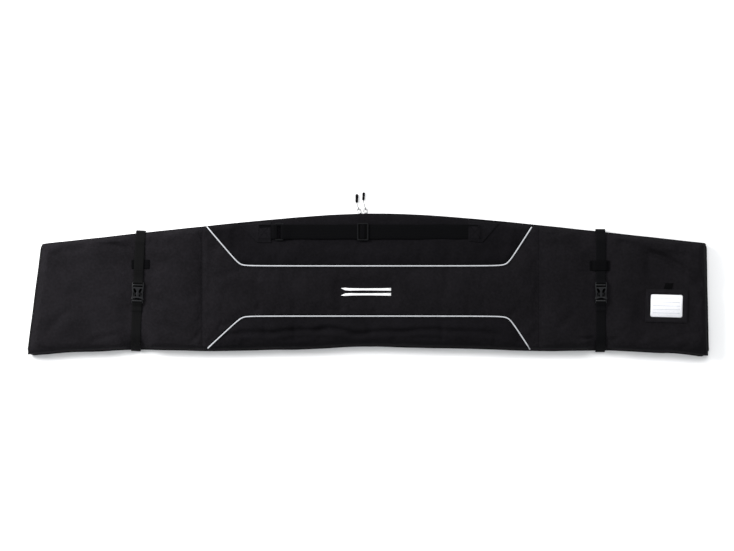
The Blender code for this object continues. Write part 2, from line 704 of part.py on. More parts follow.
# ---------------------------------------------------------------- handle
def patch(name, corners):
    """Sewn patch that follows the shell between four corners."""
    a, b, c, d = (Vector(p) for p in corners)

    def place(u, v):
        p = (a.lerp(b, u)).lerp(d.lerp(c, u), v)
        return (p.x, p.y, surface_z(p.x, p.y) + 0.0004)
    obj = sheet(name, spread(0.0, 1.0, 7), [0.0, 0.3, 0.5, 0.6, 0.7, 0.8, 0.9, 1.0], place, 0.0012, CLOTH,
                offset=1.0)
    return obj


patch("handle_patch_left", ((-0.291, 0.111), (-0.2535, 0.111), (-0.2535, top_edge(-0.2535) - 0.004),
                            (-0.338, top_edge(-0.338) - 0.006)))
patch("handle_patch_right", ((0.2665, 0.115), (0.303, 0.111), (0.3480, top_edge(0.348) - 0.006),
                             (0.2665, top_edge(0.2665) - 0.004)))

ALONG_HANDLE = Matrix.Translation((0.0, HANDLE_Y, 0.0)) @ Matrix.Rotation(-math.pi / 2, 4, "Z")
HALF = 0.5 * WEB_T
ON_PATCH = CROWN_Z + 0.0004 + 0.0012 + 0.0004 + HALF
BAR_Z0 = 0.0406
BAR_Z1 = 0.0440
STRAP_LOW = CROWN_Z + 0.0004 + HALF
STRAP_MAIN = STRAP_LOW + WEB_T + 0.0004
GLIDE_BAR_X = 0.5 * (GLIDE_X0 + GLIDE_X1)


def handle_web(name, path, width=HANDLE_W):
    """Handle webbing from a path of (x, height)."""
    return web(name, ALONG_HANDLE, path, width=width)


LOOP_OVER = BAR_Z1 + 0.0005 + HALF
LOOP_UNDER = STRAP_LOW
mid = 0.5 * (LOOP_OVER + LOOP_UNDER)
tab_path = [(-0.2850, ON_PATCH + 0.0020), (-0.2560, ON_PATCH + 0.0020), (-0.2480, LOOP_OVER)]
tab_path += [(-0.2430, LOOP_OVER), (-0.2398, LOOP_OVER), (-0.2386, LOOP_OVER - 0.0004)]
tab_path += [(-0.2381, LOOP_OVER - 0.0013), (-0.2380, mid), (-0.2381, LOOP_UNDER + 0.0013)]
tab_path += [(-0.2386, LOOP_UNDER + 0.0004), (-0.2398, LOOP_UNDER), (-0.2430, LOOP_UNDER)]
tab_path += [(-0.2510, LOOP_UNDER)]
handle_web("handle_ring_tab", tab_path)

FRAME_Y0 = HANDLE_Y - 0.5 * HANDLE_FRAME_W
FRAME_Y1 = HANDLE_Y + 0.5 * HANDLE_FRAME_W
ring_eye = rounded(RING_X0 + 0.004, HANDLE_Y - 0.0195, RING_X1 - 0.004, HANDLE_Y + 0.0195, 0.0008, 1)
ring = prism("handle_ring", rounded(RING_X0, FRAME_Y0, RING_X1, FRAME_Y1, 0.003), BAR_Z0, BAR_Z1, PLASTIC,
             holes=(ring_eye,), corner=0.0008)
pivot(ring, (RING_X0 + 0.002, HANDLE_Y, 0.5 * (BAR_Z0 + BAR_Z1)))

main_path = [(-0.2255, LOOP_UNDER), (-0.2276, LOOP_UNDER + 0.0008), (-0.2284, mid)]
main_path += [(-0.2276, LOOP_OVER - 0.0008), (-0.2255, LOOP_OVER), (-0.2200, LOOP_OVER)]
main_path += [(-0.2000, STRAP_MAIN + 0.0010), (-0.1800, STRAP_MAIN)]
main_path += [(-0.0900, STRAP_MAIN), (0.0, STRAP_MAIN), (0.0900, STRAP_MAIN), (0.1800, STRAP_MAIN)]
main_path += [(0.2500, STRAP_MAIN), (0.2640, ON_PATCH + 0.0004), (0.2950, ON_PATCH + 0.0004)]
handle_web("handle_strap_main", main_path)
handle_web("handle_strap_return", [(-0.2252, LOOP_UNDER), (-0.2000, STRAP_LOW), (-0.1200, STRAP_LOW),
                                   (GLIDE_BAR_X - 0.0055, STRAP_LOW)])

glide = prism("tri_glide", rounded(GLIDE_X0, FRAME_Y0, GLIDE_X1, FRAME_Y1, 0.0035),
              STRAP_LOW - HALF, 0.0452, PLASTIC)
cut(glide, (GLIDE_X0 - 0.01, HANDLE_Y - 0.0195, 0.03), (GLIDE_BAR_X - 0.0028, HANDLE_Y + 0.0195, 0.0424))
cut(glide, (GLIDE_BAR_X + 0.0028, HANDLE_Y - 0.0195, 0.03), (GLIDE_X1 + 0.01, HANDLE_Y + 0.0195, 0.0424))
cut(glide, (GLIDE_X0 + 0.0036, HANDLE_Y - 0.0195, 0.0399), (GLIDE_X1 - 0.0036, HANDLE_Y + 0.0195, 0.06))
cut(glide, (GLIDE_X0 + 0.0036, HANDLE_Y - 0.0195, 0.03), (GLIDE_BAR_X - 0.0028, HANDLE_Y + 0.0195, 0.06))
cut(glide, (GLIDE_BAR_X + 0.0028, HANDLE_Y - 0.0195, 0.03), (GLIDE_X1 - 0.0036, HANDLE_Y + 0.0195, 0.06))
pivot(glide, (GLIDE_BAR_X, HANDLE_Y, STRAP_MAIN))


# ---------------------------------------------------------------- card holder
CARD_PLACE = local_frame(CARD_CENTRE[0], CARD_CENTRE[1], CARD_TILT)
CARD_Z = CROWN_Z + 0.0004


def card_rect(w, h, radius, dy=0.0):
    """Rounded rectangle about the card's centre."""
    return rounded(-0.5 * w, -0.5 * h + dy, 0.5 * w, 0.5 * h + dy, radius)


holder = prism("card_frame", card_rect(0.111, 0.087, 0.002), CARD_Z - 0.0001, CROWN_Z + 0.0022,
              ((0.014, 0.014, 0.015), 0.6), holes=(card_rect(0.0885, 0.0620, 0.0055),))
cut(holder, (-0.0450, 0.0, 0.03), (0.0450, 0.060, CARD_Z + 0.0008), CARD_PLACE)
settle(holder, CARD_PLACE)
settle(prism("card_window", card_rect(0.0879, 0.0614, 0.0052), CARD_Z + 0.0010, CARD_Z + 0.0016,
             ((0.8, 0.82, 0.85), 0.1, 0.0, 0.35)), CARD_PLACE)
settle(prism("lined_card", card_rect(CARD_W, CARD_H, 0.0050), CARD_Z, CARD_Z + 0.0006,
             ((0.85, 0.86, 0.88), 0.5)), CARD_PLACE)
tab_loop = [(-0.0100, 0.0303), (0.0110, 0.0303), (0.0125, 0.0440), (0.0165, 0.0600), (-0.0045, 0.0600),
            (-0.0085, 0.0440)]
settle(prism("card_pull_tab", tab_loop, CARD_Z, CARD_Z + 0.0006, WEBBING), CARD_PLACE)
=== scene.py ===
"""Looks of a padded ski carry bag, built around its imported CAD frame. Metres, +X along the bag, +Z up."""
import json
import math

import bmesh
import bpy
import numpy as np
from mathutils import Matrix, Vector, noise

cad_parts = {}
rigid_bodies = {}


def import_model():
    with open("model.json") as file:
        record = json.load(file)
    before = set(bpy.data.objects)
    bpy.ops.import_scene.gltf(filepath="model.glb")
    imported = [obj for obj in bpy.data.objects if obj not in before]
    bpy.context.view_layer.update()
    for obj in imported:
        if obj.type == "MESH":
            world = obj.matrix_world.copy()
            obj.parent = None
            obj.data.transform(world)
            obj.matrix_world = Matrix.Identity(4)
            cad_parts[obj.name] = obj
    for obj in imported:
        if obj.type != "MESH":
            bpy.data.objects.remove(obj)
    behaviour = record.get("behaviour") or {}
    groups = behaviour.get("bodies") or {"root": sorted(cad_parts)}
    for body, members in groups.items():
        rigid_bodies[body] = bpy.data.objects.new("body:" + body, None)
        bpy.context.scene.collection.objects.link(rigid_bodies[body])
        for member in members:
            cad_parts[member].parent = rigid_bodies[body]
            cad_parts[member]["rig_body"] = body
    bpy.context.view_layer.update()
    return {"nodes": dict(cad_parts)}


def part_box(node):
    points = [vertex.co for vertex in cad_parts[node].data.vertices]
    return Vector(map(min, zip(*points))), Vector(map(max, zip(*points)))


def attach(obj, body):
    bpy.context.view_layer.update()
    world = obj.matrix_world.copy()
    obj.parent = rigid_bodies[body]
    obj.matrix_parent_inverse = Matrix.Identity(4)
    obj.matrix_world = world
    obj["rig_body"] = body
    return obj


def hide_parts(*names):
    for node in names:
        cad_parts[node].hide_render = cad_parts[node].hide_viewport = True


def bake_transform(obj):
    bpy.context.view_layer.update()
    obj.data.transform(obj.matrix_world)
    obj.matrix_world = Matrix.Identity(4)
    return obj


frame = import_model()

# ---------------------------------------------------------------- dimensions shared with the CAD frame
CROWN_Z = 0.038
RIM_Z = 0.011
ZIP_RIM_SHARE = 0.52
ROLL_BOTTOM, ROLL_TOP, ROLL_END = 0.045, 0.030, 0.050
SEAM_LEFT_X, SEAM_RIGHT_X = -0.435, 0.452
TOP_PEAK_Y, TOP_PEAK_X, TOP_SLOPE, TOP_SOFT = 0.1878, 0.025, 0.1147, 0.21
LEFT_LOW, LEFT_HIGH = (-0.899, -0.184), (-0.861, 0.110)
RIGHT_LOW, RIGHT_HIGH = (0.901, -0.187), (0.895, 0.110)
BOTTOM_XS = [-0.899, -0.76, -0.60, -0.42, -0.20, 0.0, 0.20, 0.47, 0.63, 0.79, 0.901]
BOTTOM_YS = [-0.184, -0.175, -0.1688, -0.173, -0.169, -0.161, -0.1655, -0.1725, -0.1715, -0.1777, -0.187]
PIPE_UPPER_Y, PIPE_LOWER_Y, PIPE_SOFT = 0.050, -0.082, 0.010
UPPER_KNEES = (-0.336, 1.18, 0.3685, 1.58)
LOWER_KNEES = (-0.3305, 0.93, 0.3728, 1.55)
ZIP_R, ZIP_CENTRE_X, ZIP_PEAK_Y = 3.76, 0.025, 0.181
ZIP_ARC_LOW, ZIP_ARC_HIGH = -0.62, 0.64
ZIP_X0, ZIP_X1, ZIP_Z = -0.800, 0.815, 0.0115
WEB_T, STRAP_W, HANDLE_W = 0.0016, 0.025, 0.038
LEFT_STRAP = (-0.606, -0.0205, math.radians(-2.6))
RIGHT_STRAP = (0.6155, -0.0205, 0.0)
HANDLE_Y = 0.1405
CARD_CENTRE, CARD_TILT = (0.7885, -0.0550), math.radians(-1.5)

# ---------------------------------------------------------------- camera, light and finish of the scene
SENSOR_W, FRAME_W, CAMERA_AT, MID_Z = 36.0, 1.9395, (-0.0013, 0.0251, 9.0), 0.02
SKY_TINT, SKY_POWER = (0.96, 0.98, 1.0, 1.0), 0.67
LAMPS = (("key", (-2.2, 1.2, 1.55), (1.5, 1.0), 120.0), ("back", (0.7, 1.6, 2.2), (2.4, 0.9), 40.0))
FLOOR_HALF, FLOOR_Z, FLOOR_TONE = 6.0, -0.0002, 0.97

# ---------------------------------------------------------------- padding, seams and edges
PUFF, PUFF_EDGE, SWELL_MAX = 0.0042, 0.0045, 0.0042
SKIN_T, SKIN_ROOM = 0.0022, 0.016
PIPE_GROOVE, LEFT_GROOVE, RIGHT_GROOVE = (0.0022, 0.0032), (0.0013, 0.0060), (0.0003, 0.0035)
TAPE_FACE_LEFT, TAPE_FACE_RIGHT = 0.0048, 0.0030


def top_edge(x):
    """Y of the zip edge."""
    return TOP_PEAK_Y - TOP_SLOPE * (np.hypot(x - TOP_PEAK_X, TOP_SOFT) - TOP_SOFT)


def bottom_edge(x):
    """Y of the folded edge."""
    x = np.clip(x, BOTTOM_XS[0], BOTTOM_XS[-1])
    xs, ys = np.array(BOTTOM_XS), np.array(BOTTOM_YS)
    k = np.clip(np.searchsorted(xs, x, side="left") - 1, 0, len(xs) - 2)
    t = (x - xs[k]) / (xs[k + 1] - xs[k])
    return ys[k] + (ys[k + 1] - ys[k]) * t * t * (3.0 - 2.0 * t)


def end_line(low, high, y):
    """X of an end of the bag."""
    return low[0] + (high[0] - low[0]) * (y - low[1]) / (high[1] - low[1])


def roll(distance, width, power=2.0):
    """Share of full height at a distance from an edge."""
    return 1.0 - (1.0 - np.clip(distance / width, 0.0, 1.0)) ** power


def surface_z(x, y):
    """Height of the front of the CAD shell."""
    low = roll(y - bottom_edge(x), ROLL_BOTTOM, 2.3)
    high = ZIP_RIM_SHARE + (1.0 - ZIP_RIM_SHARE) * roll(top_edge(x) - y, ROLL_TOP)
    ends = roll(x - end_line(LEFT_LOW, LEFT_HIGH, y), ROLL_END)
    ends = ends * roll(end_line(RIGHT_LOW, RIGHT_HIGH, y) - x, ROLL_END)
    return RIM_Z + (CROWN_Z - RIM_Z) * low * high * ends


def bend(u, soft):
    """Smooth ramp."""
    return 0.5 * (np.hypot(u, soft) + u)


def pipe_upper(x):
    """Y of the upper piping."""
    xl, sl, xr, sr = UPPER_KNEES
    return PIPE_UPPER_Y + sl * bend(xl - x, PIPE_SOFT) + sr * bend(x - xr, PIPE_SOFT)


def pipe_lower(x):
    """Y of the lower piping."""
    xl, sl, xr, sr = LOWER_KNEES
    return PIPE_LOWER_Y - sl * bend(xl - x, PIPE_SOFT) - sr * bend(x - xr, PIPE_SOFT)


def zip_track(x):
    """Y of the outer face of the zip tapes."""
    inside = np.clip(x, ZIP_ARC_LOW, ZIP_ARC_HIGH)
    drop = ZIP_R - np.sqrt(ZIP_R ** 2 - (inside - ZIP_CENTRE_X) ** 2)
    return ZIP_PEAK_Y - drop - 0.1075 * np.abs(x - inside)


def loft_z(x, y):
    """Height of the padded skin: fuller than the CAD shell towards its edges."""
    low = roll(y - bottom_edge(x), 0.011, 2.2)
    high = 0.60 + 0.40 * roll(top_edge(x) - y, 0.016)
    ends = roll(x - end_line(LEFT_LOW, LEFT_HIGH, y), 0.0075)
    ends = ends * roll(end_line(RIGHT_LOW, RIGHT_HIGH, y) - x, 0.015)
    return RIM_Z + (CROWN_Z - RIM_Z) * low * high * ends


def smooth(t):
    """Smoothstep of a share."""
    t = np.clip(t, 0.0, 1.0)
    return t * t * (3.0 - 2.0 * t)


# ---------------------------------------------------------------- camera, light and floor
def stage_scene():
    """Straight-down camera, soft studio light and a pale floor."""
    cam = bpy.data.cameras.new("camera")
    cam.sensor_width = SENSOR_W
    cam.lens = SENSOR_W * (CAMERA_AT[2] - MID_Z) / FRAME_W
    cam_obj = bpy.data.objects.new("camera", cam)
    cam_obj.location = CAMERA_AT
    bpy.context.scene.collection.objects.link(cam_obj)
    bpy.context.scene.camera = cam_obj
    bpy.context.scene.view_settings.view_transform = "Standard"

    world = bpy.data.worlds.new("studio")
    world.use_nodes = True
    sky = world.node_tree.nodes["Background"].inputs
    sky["Color"].default_value, sky["Strength"].default_value = SKY_TINT, SKY_POWER
    bpy.context.scene.world = world

    for name, place, size, power in LAMPS:
        lamp = bpy.data.lights.new(name, "AREA")
        lamp.shape = "RECTANGLE"
        lamp.size, lamp.size_y = size
        lamp.energy = power
        obj = bpy.data.objects.new(name, lamp)
        obj.location = place
        obj.rotation_euler = (-Vector(place)).to_track_quat("-Z", "Y").to_euler()
        bpy.context.scene.collection.objects.link(obj)

    mesh = bpy.data.meshes.new("floor")
    corners = ((-1, -1), (1, -1), (1, 1), (-1, 1))
    mesh.from_pydata([(FLOOR_HALF * x, FLOOR_HALF * y, FLOOR_Z) for x, y in corners], [], [(0, 1, 2, 3)])
    floor = bpy.data.objects.new("floor", mesh)
    bpy.context.scene.collection.objects.link(floor)
    paper = bpy.data.materials.new("floor_paper")
    paper.use_nodes = True
    shader = paper.node_tree.nodes["Principled BSDF"]
    shader.inputs["Base Color"].default_value = (FLOOR_TONE, FLOOR_TONE, FLOOR_TONE, 1.0)
    shader.inputs["Roughness"].default_value = 0.95
    mesh.materials.append(paper)


stage_scene()


# ---------------------------------------------------------------- materials
class Look:
    """Small builder for node materials."""

    def __init__(self, name, colour, roughness, metallic=0.0, **sockets):
        self.mat = bpy.data.materials.new(name)
        self.mat.use_nodes = True
        self.tree = self.mat.node_tree
        self.shader = self.tree.nodes["Principled BSDF"]
        self.colour = colour
        self.roughness = roughness
        self.shader.inputs["Base Color"].default_value = (*colour, 1.0)
        self.shader.inputs["Roughness"].default_value = roughness
        self.shader.inputs["Metallic"].default_value = metallic
        for key, value in sockets.items():
            self.shader.inputs[key.replace("_", " ")].default_value = value
        self.height = None

    def node(self, kind, **values):
        """Add a node and set its plain properties and sockets."""
        made = self.tree.nodes.new(kind)
        for key, value in values.items():
            if key in made.inputs:
                made.inputs[key].default_value = value
            else:
                setattr(made, key, value)
        return made

    def link(self, a, out, b, into):
        """Join two sockets."""
        self.tree.links.new(a.outputs[out], b.inputs[into])

    def coords(self, scale=(1.0, 1.0, 1.0), turn=0.0, uv=False):
        """Object or UV coordinates through a mapping."""
        source = self.node("ShaderNodeTexCoord")
        mapping = self.node("ShaderNodeMapping")
        mapping.inputs["Scale"].default_value = scale
        mapping.inputs["Rotation"].default_value = (0.0, 0.0, turn)
        self.link(source, "UV" if uv else "Object", mapping, "Vector")
        return mapping

    def wave(self, pitch, direction, turn=0.0, uv=False, distortion=0.0, profile="SIN"):
        """Bands of a given pitch."""
        made = self.node("ShaderNodeTexWave", wave_type="BANDS", bands_direction=direction,
                         wave_profile=profile)
        made.inputs["Scale"].default_value = 0.31416 / pitch
        made.inputs["Distortion"].default_value = distortion
        self.link(self.coords(turn=turn, uv=uv), "Vector", made, "Vector")
        return made

    def noise(self, size, detail=3.0, rough=0.55, scale=(1.0, 1.0, 1.0), uv=False):
        """Noise with features of a given size."""
        made = self.node("ShaderNodeTexNoise")
        made.inputs["Scale"].default_value = 1.0 / size
        made.inputs["Detail"].default_value = detail
        made.inputs["Roughness"].default_value = rough
        self.link(self.coords(scale=scale, uv=uv), "Vector", made, "Vector")
        return made

    def math(self, operation, a, b):
        """Math node on two outputs or numbers."""
        made = self.node("ShaderNodeMath", operation=operation)
        for i, term in enumerate((a, b)):
            if isinstance(term, (int, float)):
                made.inputs[i].default_value = term
            else:
                self.tree.links.new(term, made.inputs[i])
        return made.outputs[0]

    def vary(self, factor, dark, light, low=0.3, high=0.7):
        """Drive the colour between two shades of itself."""
        ramp = self.node("ShaderNodeValToRGB")
        ramp.color_ramp.elements[0].position = low
        ramp.color_ramp.elements[1].position = high
        ramp.color_ramp.elements[0].color = (*[c * dark for c in self.colour], 1.0)
        ramp.color_ramp.elements[1].color = (*[c * light for c in self.colour], 1.0)
        self.tree.links.new(factor, ramp.inputs["Fac"])
        self.link(ramp, "Color", self.shader, "Base Color")
        return ramp

    def rough(self, factor, low, high):
        """Drive the roughness between two values."""
        span = self.node("ShaderNodeMapRange")
        span.inputs["To Min"].default_value = low
        span.inputs["To Max"].default_value = high
        self.tree.links.new(factor, span.inputs["Value"])
        self.link(span, "Result", self.shader, "Roughness")

    def bump(self, height, distance, strength=1.0):
        """Add a bump layer."""
        made = self.node("ShaderNodeBump")
        made.inputs["Strength"].default_value = strength
        made.inputs["Distance"].default_value = distance
        self.tree.links.new(height, made.inputs["Height"])
        if self.height is not None:
            self.link(self.height, "Normal", made, "Normal")
        self.tree.links.new(made.outputs["Normal"], self.shader.inputs["Normal"])
        self.height = made
        return made


def woven_look(name, colour, light=1.55, falloff=()):
    """Matt woven polyester: plain weave, slubs, faint dusty patches. falloff is (x, share) along the bag:
    painted light that scales the colour, brightest where the light falls strongest.
    """
    look = Look(name, colour, 0.94, Sheen_Weight=0.004, Sheen_Roughness=0.6, Specular_IOR_Level=0.05)
    look.shader.inputs["Sheen Tint"].default_value = (0.75, 0.72, 0.80, 1.0)
    warp = look.wave(0.0011, "X", distortion=0.6)
    weft = look.wave(0.0011, "Y", distortion=0.6)
    weave = look.math("MULTIPLY", warp.outputs["Fac"], weft.outputs["Fac"])
    slub = look.noise(0.006, 4.0, 0.65)
    cloud = look.noise(0.07, 3.0, 0.6)
    mixed = look.math("ADD", look.math("MULTIPLY", slub.outputs["Fac"], 0.6),
                      look.math("MULTIPLY", cloud.outputs["Fac"], 0.4))
    tone = look.math("ADD", look.math("MULTIPLY", mixed, 0.85), look.math("MULTIPLY", weave, 0.2))
    shades = look.vary(tone, 0.62, light, 0.35, 0.72)
    # Painted light: the colour is scaled along the bag by the falloff shares.
    if falloff:
        along = look.node("ShaderNodeSeparateXYZ")
        look.link(look.coords(), "Vector", along, "Vector")
        place = look.node("ShaderNodeMapRange")
        place.inputs["From Min"].default_value = -FALLOFF_HALF
        place.inputs["From Max"].default_value = FALLOFF_HALF
        look.link(along, "X", place, "Value")
        falloff_ramp = look.node("ShaderNodeValToRGB")
        stops = falloff_ramp.color_ramp.elements
        while len(stops) < len(falloff):
            stops.new(0.5)
        for stop, (x, share) in zip(stops, falloff):
            stop.position = (x + FALLOFF_HALF) / (2.0 * FALLOFF_HALF)
            stop.color = (share, share, share, 1.0)
        look.link(place, "Result", falloff_ramp, "Fac")
        scaled = look.node("ShaderNodeVectorMath", operation="MULTIPLY")
        look.link(shades, "Color", scaled, 0)
        look.link(falloff_ramp, "Color", scaled, 1)
        look.link(scaled, "Vector", look.shader, "Base Color")
    look.rough(slub.outputs["Fac"], 0.90, 0.98)
    look.bump(slub.outputs["Fac"], 0.0005, 0.5)
    look.bump(weave, 0.00025, 0.6)
    return look.mat


def webbing_look(name, colour, light=1.5):
    """Ribbed webbing: ribs across, a herringbone run along and smoother edges."""
    look = Look(name, colour, 0.80, Sheen_Weight=0.004, Specular_IOR_Level=0.06)
    ribs = look.wave(0.0016, "Y", uv=True, distortion=0.4)
    rows = look.wave(0.0042, "X", uv=True, profile="TRI")
    fuzz = look.noise(0.004, 4.0, 0.7, uv=True)
    height = look.math("ADD", look.math("MULTIPLY", ribs.outputs["Fac"], 0.7),
                       look.math("MULTIPLY", rows.outputs["Fac"], 0.5))
    tone = look.math("ADD", look.math("MULTIPLY", height, 0.4),
                     look.math("MULTIPLY", fuzz.outputs["Fac"], 0.7))
    look.vary(tone, 0.65, light, 0.3, 0.85)
    look.rough(fuzz.outputs["Fac"], 0.72, 0.88)
    look.bump(fuzz.outputs["Fac"], 0.0003, 0.4)
    look.bump(height, 0.0003, 0.8)
    return look.mat


def moulded_look(name, colour, roughness=0.36, light=1.35, spec=0.4):
    """Moulded plastic: fine satin grain with rubbed, shinier patches."""
    look = Look(name, colour, roughness, Specular_IOR_Level=spec)
    grain = look.noise(0.0006, 2.0, 0.5)
    rub = look.noise(0.009, 4.0, 0.6)
    look.vary(rub.outputs["Fac"], 0.75, light, 0.3, 0.75)
    look.rough(rub.outputs["Fac"], roughness - 0.08, roughness + 0.14)
    look.bump(grain.outputs["Fac"], 0.00008, 0.5)
    return look.mat


def metal_look(name, colour, roughness):
    """Dull plated metal with fine scratches."""
    look = Look(name, colour, roughness, 1.0)
    scratch = look.noise(0.0012, 4.0, 0.7, scale=(0.25, 1.0, 1.0))
    look.vary(scratch.outputs["Fac"], 0.7, 1.15)
    look.rough(scratch.outputs["Fac"], roughness - 0.08, roughness + 0.15)
    look.bump(scratch.outputs["Fac"], 0.00005, 0.4)
    return look.mat


def corded_look(name, colour, pitch, turn=0.9):
    """Braided or twisted cord cover."""
    look = Look(name, colour, 0.7, Sheen_Weight=0.2)
    one = look.wave(pitch, "X", turn=turn)
    two = look.wave(pitch, "X", turn=-turn)
    braid = look.math("MAXIMUM", one.outputs["Fac"], two.outputs["Fac"])
    soil = look.noise(0.012, 4.0, 0.6)
    tone = look.math("ADD", look.math("MULTIPLY", braid, 0.45),
                     look.math("MULTIPLY", soil.outputs["Fac"], 0.55))
    look.vary(tone, 0.62, 1.2, 0.25, 0.85)
    look.bump(braid, 0.0003, 0.7)
    return look.mat


def grained_look(name, colour):
    """Soft vinyl with a pebbled grain."""
    look = Look(name, colour, 0.75, Specular_IOR_Level=0.06)
    cell = look.node("ShaderNodeTexVoronoi")
    cell.inputs["Scale"].default_value = 700.0
    look.link(look.coords(), "Vector", cell, "Vector")
    patch = look.noise(0.02, 4.0, 0.6)
    look.vary(patch.outputs["Fac"], 0.7, 1.5)
    look.rough(patch.outputs["Fac"], 0.66, 0.84)
    look.bump(cell.outputs["Distance"], 0.0003, 0.5)
    return look.mat


def card_look(name):
    """White card stock with a faint fibre."""
    look = Look(name, (0.835, 0.82, 0.835), 0.55)
    fibre = look.noise(0.002, 4.0, 0.6)
    look.vary(fibre.outputs["Fac"], 0.94, 1.04)
    look.bump(fibre.outputs["Fac"], 0.00005, 0.3)
    return look.mat


def film_look(name):
    """Thin clear film."""
    look = Look(name, (0.9, 0.93, 0.97), 0.12, Transmission_Weight=1.0, IOR=1.2, Alpha=0.25)
    ripple = look.noise(0.03, 2.0, 0.4)
    look.bump(ripple.outputs["Fac"], 0.0006, 0.25)
    look.rough(ripple.outputs["Fac"], 0.06, 0.2)
    return look.mat


def tweak(mat, **sockets):
    """Reset plain sockets of a finished material."""
    shader = mat.node_tree.nodes["Principled BSDF"]
    for key, value in sockets.items():
        shader.inputs[key.replace("_", " ")].default_value = value


# Painted light along the bag: the shell cloth is brightest at its left end, as if lit from that side, and
# darkest across the middle; the small step at the right seam is a tone change between panels.
FALLOFF_HALF = 0.92
LIGHT_FALLOFF = ((-0.90, 1.0), (-0.62, 0.985), (-0.47, 0.91), (-0.40, 0.83), (-0.20, 0.69), (0.10, 0.665),
        (0.44, 0.765), (0.4515, 0.775), (0.4525, 0.745), (0.56, 0.77), (0.90, 0.79))
SHELL = woven_look("shell_woven", (0.0081, 0.0073, 0.0087), falloff=LIGHT_FALLOFF)
SHELL_EDGE = woven_look("shell_woven_edge", (0.0041, 0.0037, 0.0046))
PATCH = woven_look("patch_woven", (0.0044, 0.0041, 0.0050))
TAPE = woven_look("zip_tape_woven", (0.0034, 0.0033, 0.0039))
FOLD = woven_look("edge_fold_woven", (0.0020, 0.0019, 0.0023))
WEB = webbing_look("webbing_ribbed", (0.0023, 0.0023, 0.0024))
WEB_HANDLE = webbing_look("webbing_handle", (0.0018, 0.0018, 0.0021))
tweak(WEB_HANDLE, Specular_IOR_Level=0.025, Sheen_Weight=0.0)
# Darker copy of the strap webbing for the right strap: painted shade, as the right side lies further from the
# key light.
WEB_RIGHT_SHADED = webbing_look("webbing_right_painted_shade", (0.0012, 0.0012, 0.0016))
# Near-black webbing for faces in slots, under bars and beneath the tri-glide: painted shade.
WEB_PAINTED_SHADE = webbing_look("webbing_shaded", (0.0003, 0.0003, 0.0004))
PLASTIC = moulded_look("buckle_plastic", (0.0060, 0.0062, 0.0070), 0.36, 1.35, 0.19)
# Darker buckle plastic for the sunk panels beside the stem: painted shade in the recesses.
PLASTIC_RECESS_SHADE = moulded_look("buckle_recess_painted_shade", (0.0016, 0.0017, 0.0020), 0.5, 1.25, 0.08)
# Near-black buckle plastic for the prongs, the buckle's inside, ovals, mouth and gaps: painted shade.
PLASTIC_PAINTED_SHADE = moulded_look("buckle_inside_painted_shade", (0.0006, 0.0006, 0.0008), 0.6, 1.2, 0.02)
GLIDE = moulded_look("handle_plastic", (0.0040, 0.0042, 0.0046), 0.45, 1.35, 0.07)
COIL = moulded_look("coil_nylon", (0.005, 0.005, 0.0055), 0.55, 1.35, 0.1)
RUBBER = moulded_look("grip_rubber", (0.0022, 0.0022, 0.0025), 0.6, 1.35, 0.03)
METAL = metal_look("dull_metal", (0.06, 0.06, 0.065), 0.42)
WIRE = metal_look("bright_wire", (0.20, 0.20, 0.20), 0.34)
PIPING = corded_look("piping_cord", (0.43, 0.44, 0.46), 0.0022)
PULL_CORD = corded_look("pull_cord_braid", (0.085, 0.087, 0.088), 0.0012)
THREAD = corded_look("stitch_thread", (0.0020, 0.0019, 0.0024), 0.0009)
tweak(THREAD, Specular_IOR_Level=0.03, Sheen_Weight=0.0)
VINYL = grained_look("card_holder_vinyl", (0.0060, 0.0054, 0.0066))
CARD = card_look("card_stock")
INK = moulded_look("card_ink", (0.42, 0.45, 0.50), 0.6, 1.1)
PRINT = moulded_look("white_print", (0.80, 0.80, 0.80), 0.6, 1.04)
FILM = film_look("clear_film")
FILM_EDGE = moulded_look("film_edge_weld", (0.0008, 0.0009, 0.0012), 0.4, 1.2, 0.05)


# ---------------------------------------------------------------- mesh helpers
def add_piece(name, mesh, mat, body="bag", nodes=()):
    """Link a mesh, give it its material and let it ride."""
    obj = bpy.data.objects.new(name, mesh)
    bpy.context.scene.collection.objects.link(obj)
    mesh.materials.clear()
    mesh.materials.append(mat)
    mesh.polygons.foreach_set("use_smooth", [True] * len(mesh.polygons))
    if body:
        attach(obj, body)
    if nodes:
        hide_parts(*nodes)
    return obj


def grid_faces(rows, cols, wrap=False):
    """Quads of a rows by cols grid, wrapped round its columns if asked."""
    last = cols if wrap else cols - 1
    return [(i * cols + j, (i + 1) * cols + j, (i + 1) * cols + (j + 1) % cols, i * cols + (j + 1) % cols)
            for i in range(rows - 1) for j in range(last)]


def tube_faces(rows, sides):
    """Faces of a tube of rings with both ends capped."""
    last = (rows - 1) * sides
    caps = [tuple(range(sides)), tuple(last + k for k in reversed(range(sides)))]
    return grid_faces(rows, sides, wrap=True) + caps


def mesh_from(name, verts, faces):
    """Mesh with its faces pointing outward."""
    mesh = bpy.data.meshes.new(name)
    mesh.from_pydata([tuple(map(float, v)) for v in verts], [], faces)
    bm = bmesh.new()
    bm.from_mesh(mesh)
    bmesh.ops.recalc_face_normals(bm, faces=bm.faces)
    bm.to_mesh(mesh)
    bm.free()
    return mesh


def slab(name, place, low, high):
    """Thin box between two corners given in a strap's own frame."""
    plan = ((low[0], low[1]), (high[0], low[1]), (high[0], high[1]), (low[0], high[1]))
    verts = [place @ Vector((x, y, z)) for z in (low[2], high[2]) for x, y in plan]
    sides = [(0, 1, 5, 4), (1, 2, 6, 5), (2, 3, 7, 6), (3, 0, 4, 7)]
    return mesh_from(name, verts, [(0, 3, 2, 1), (4, 5, 6, 7), *sides])


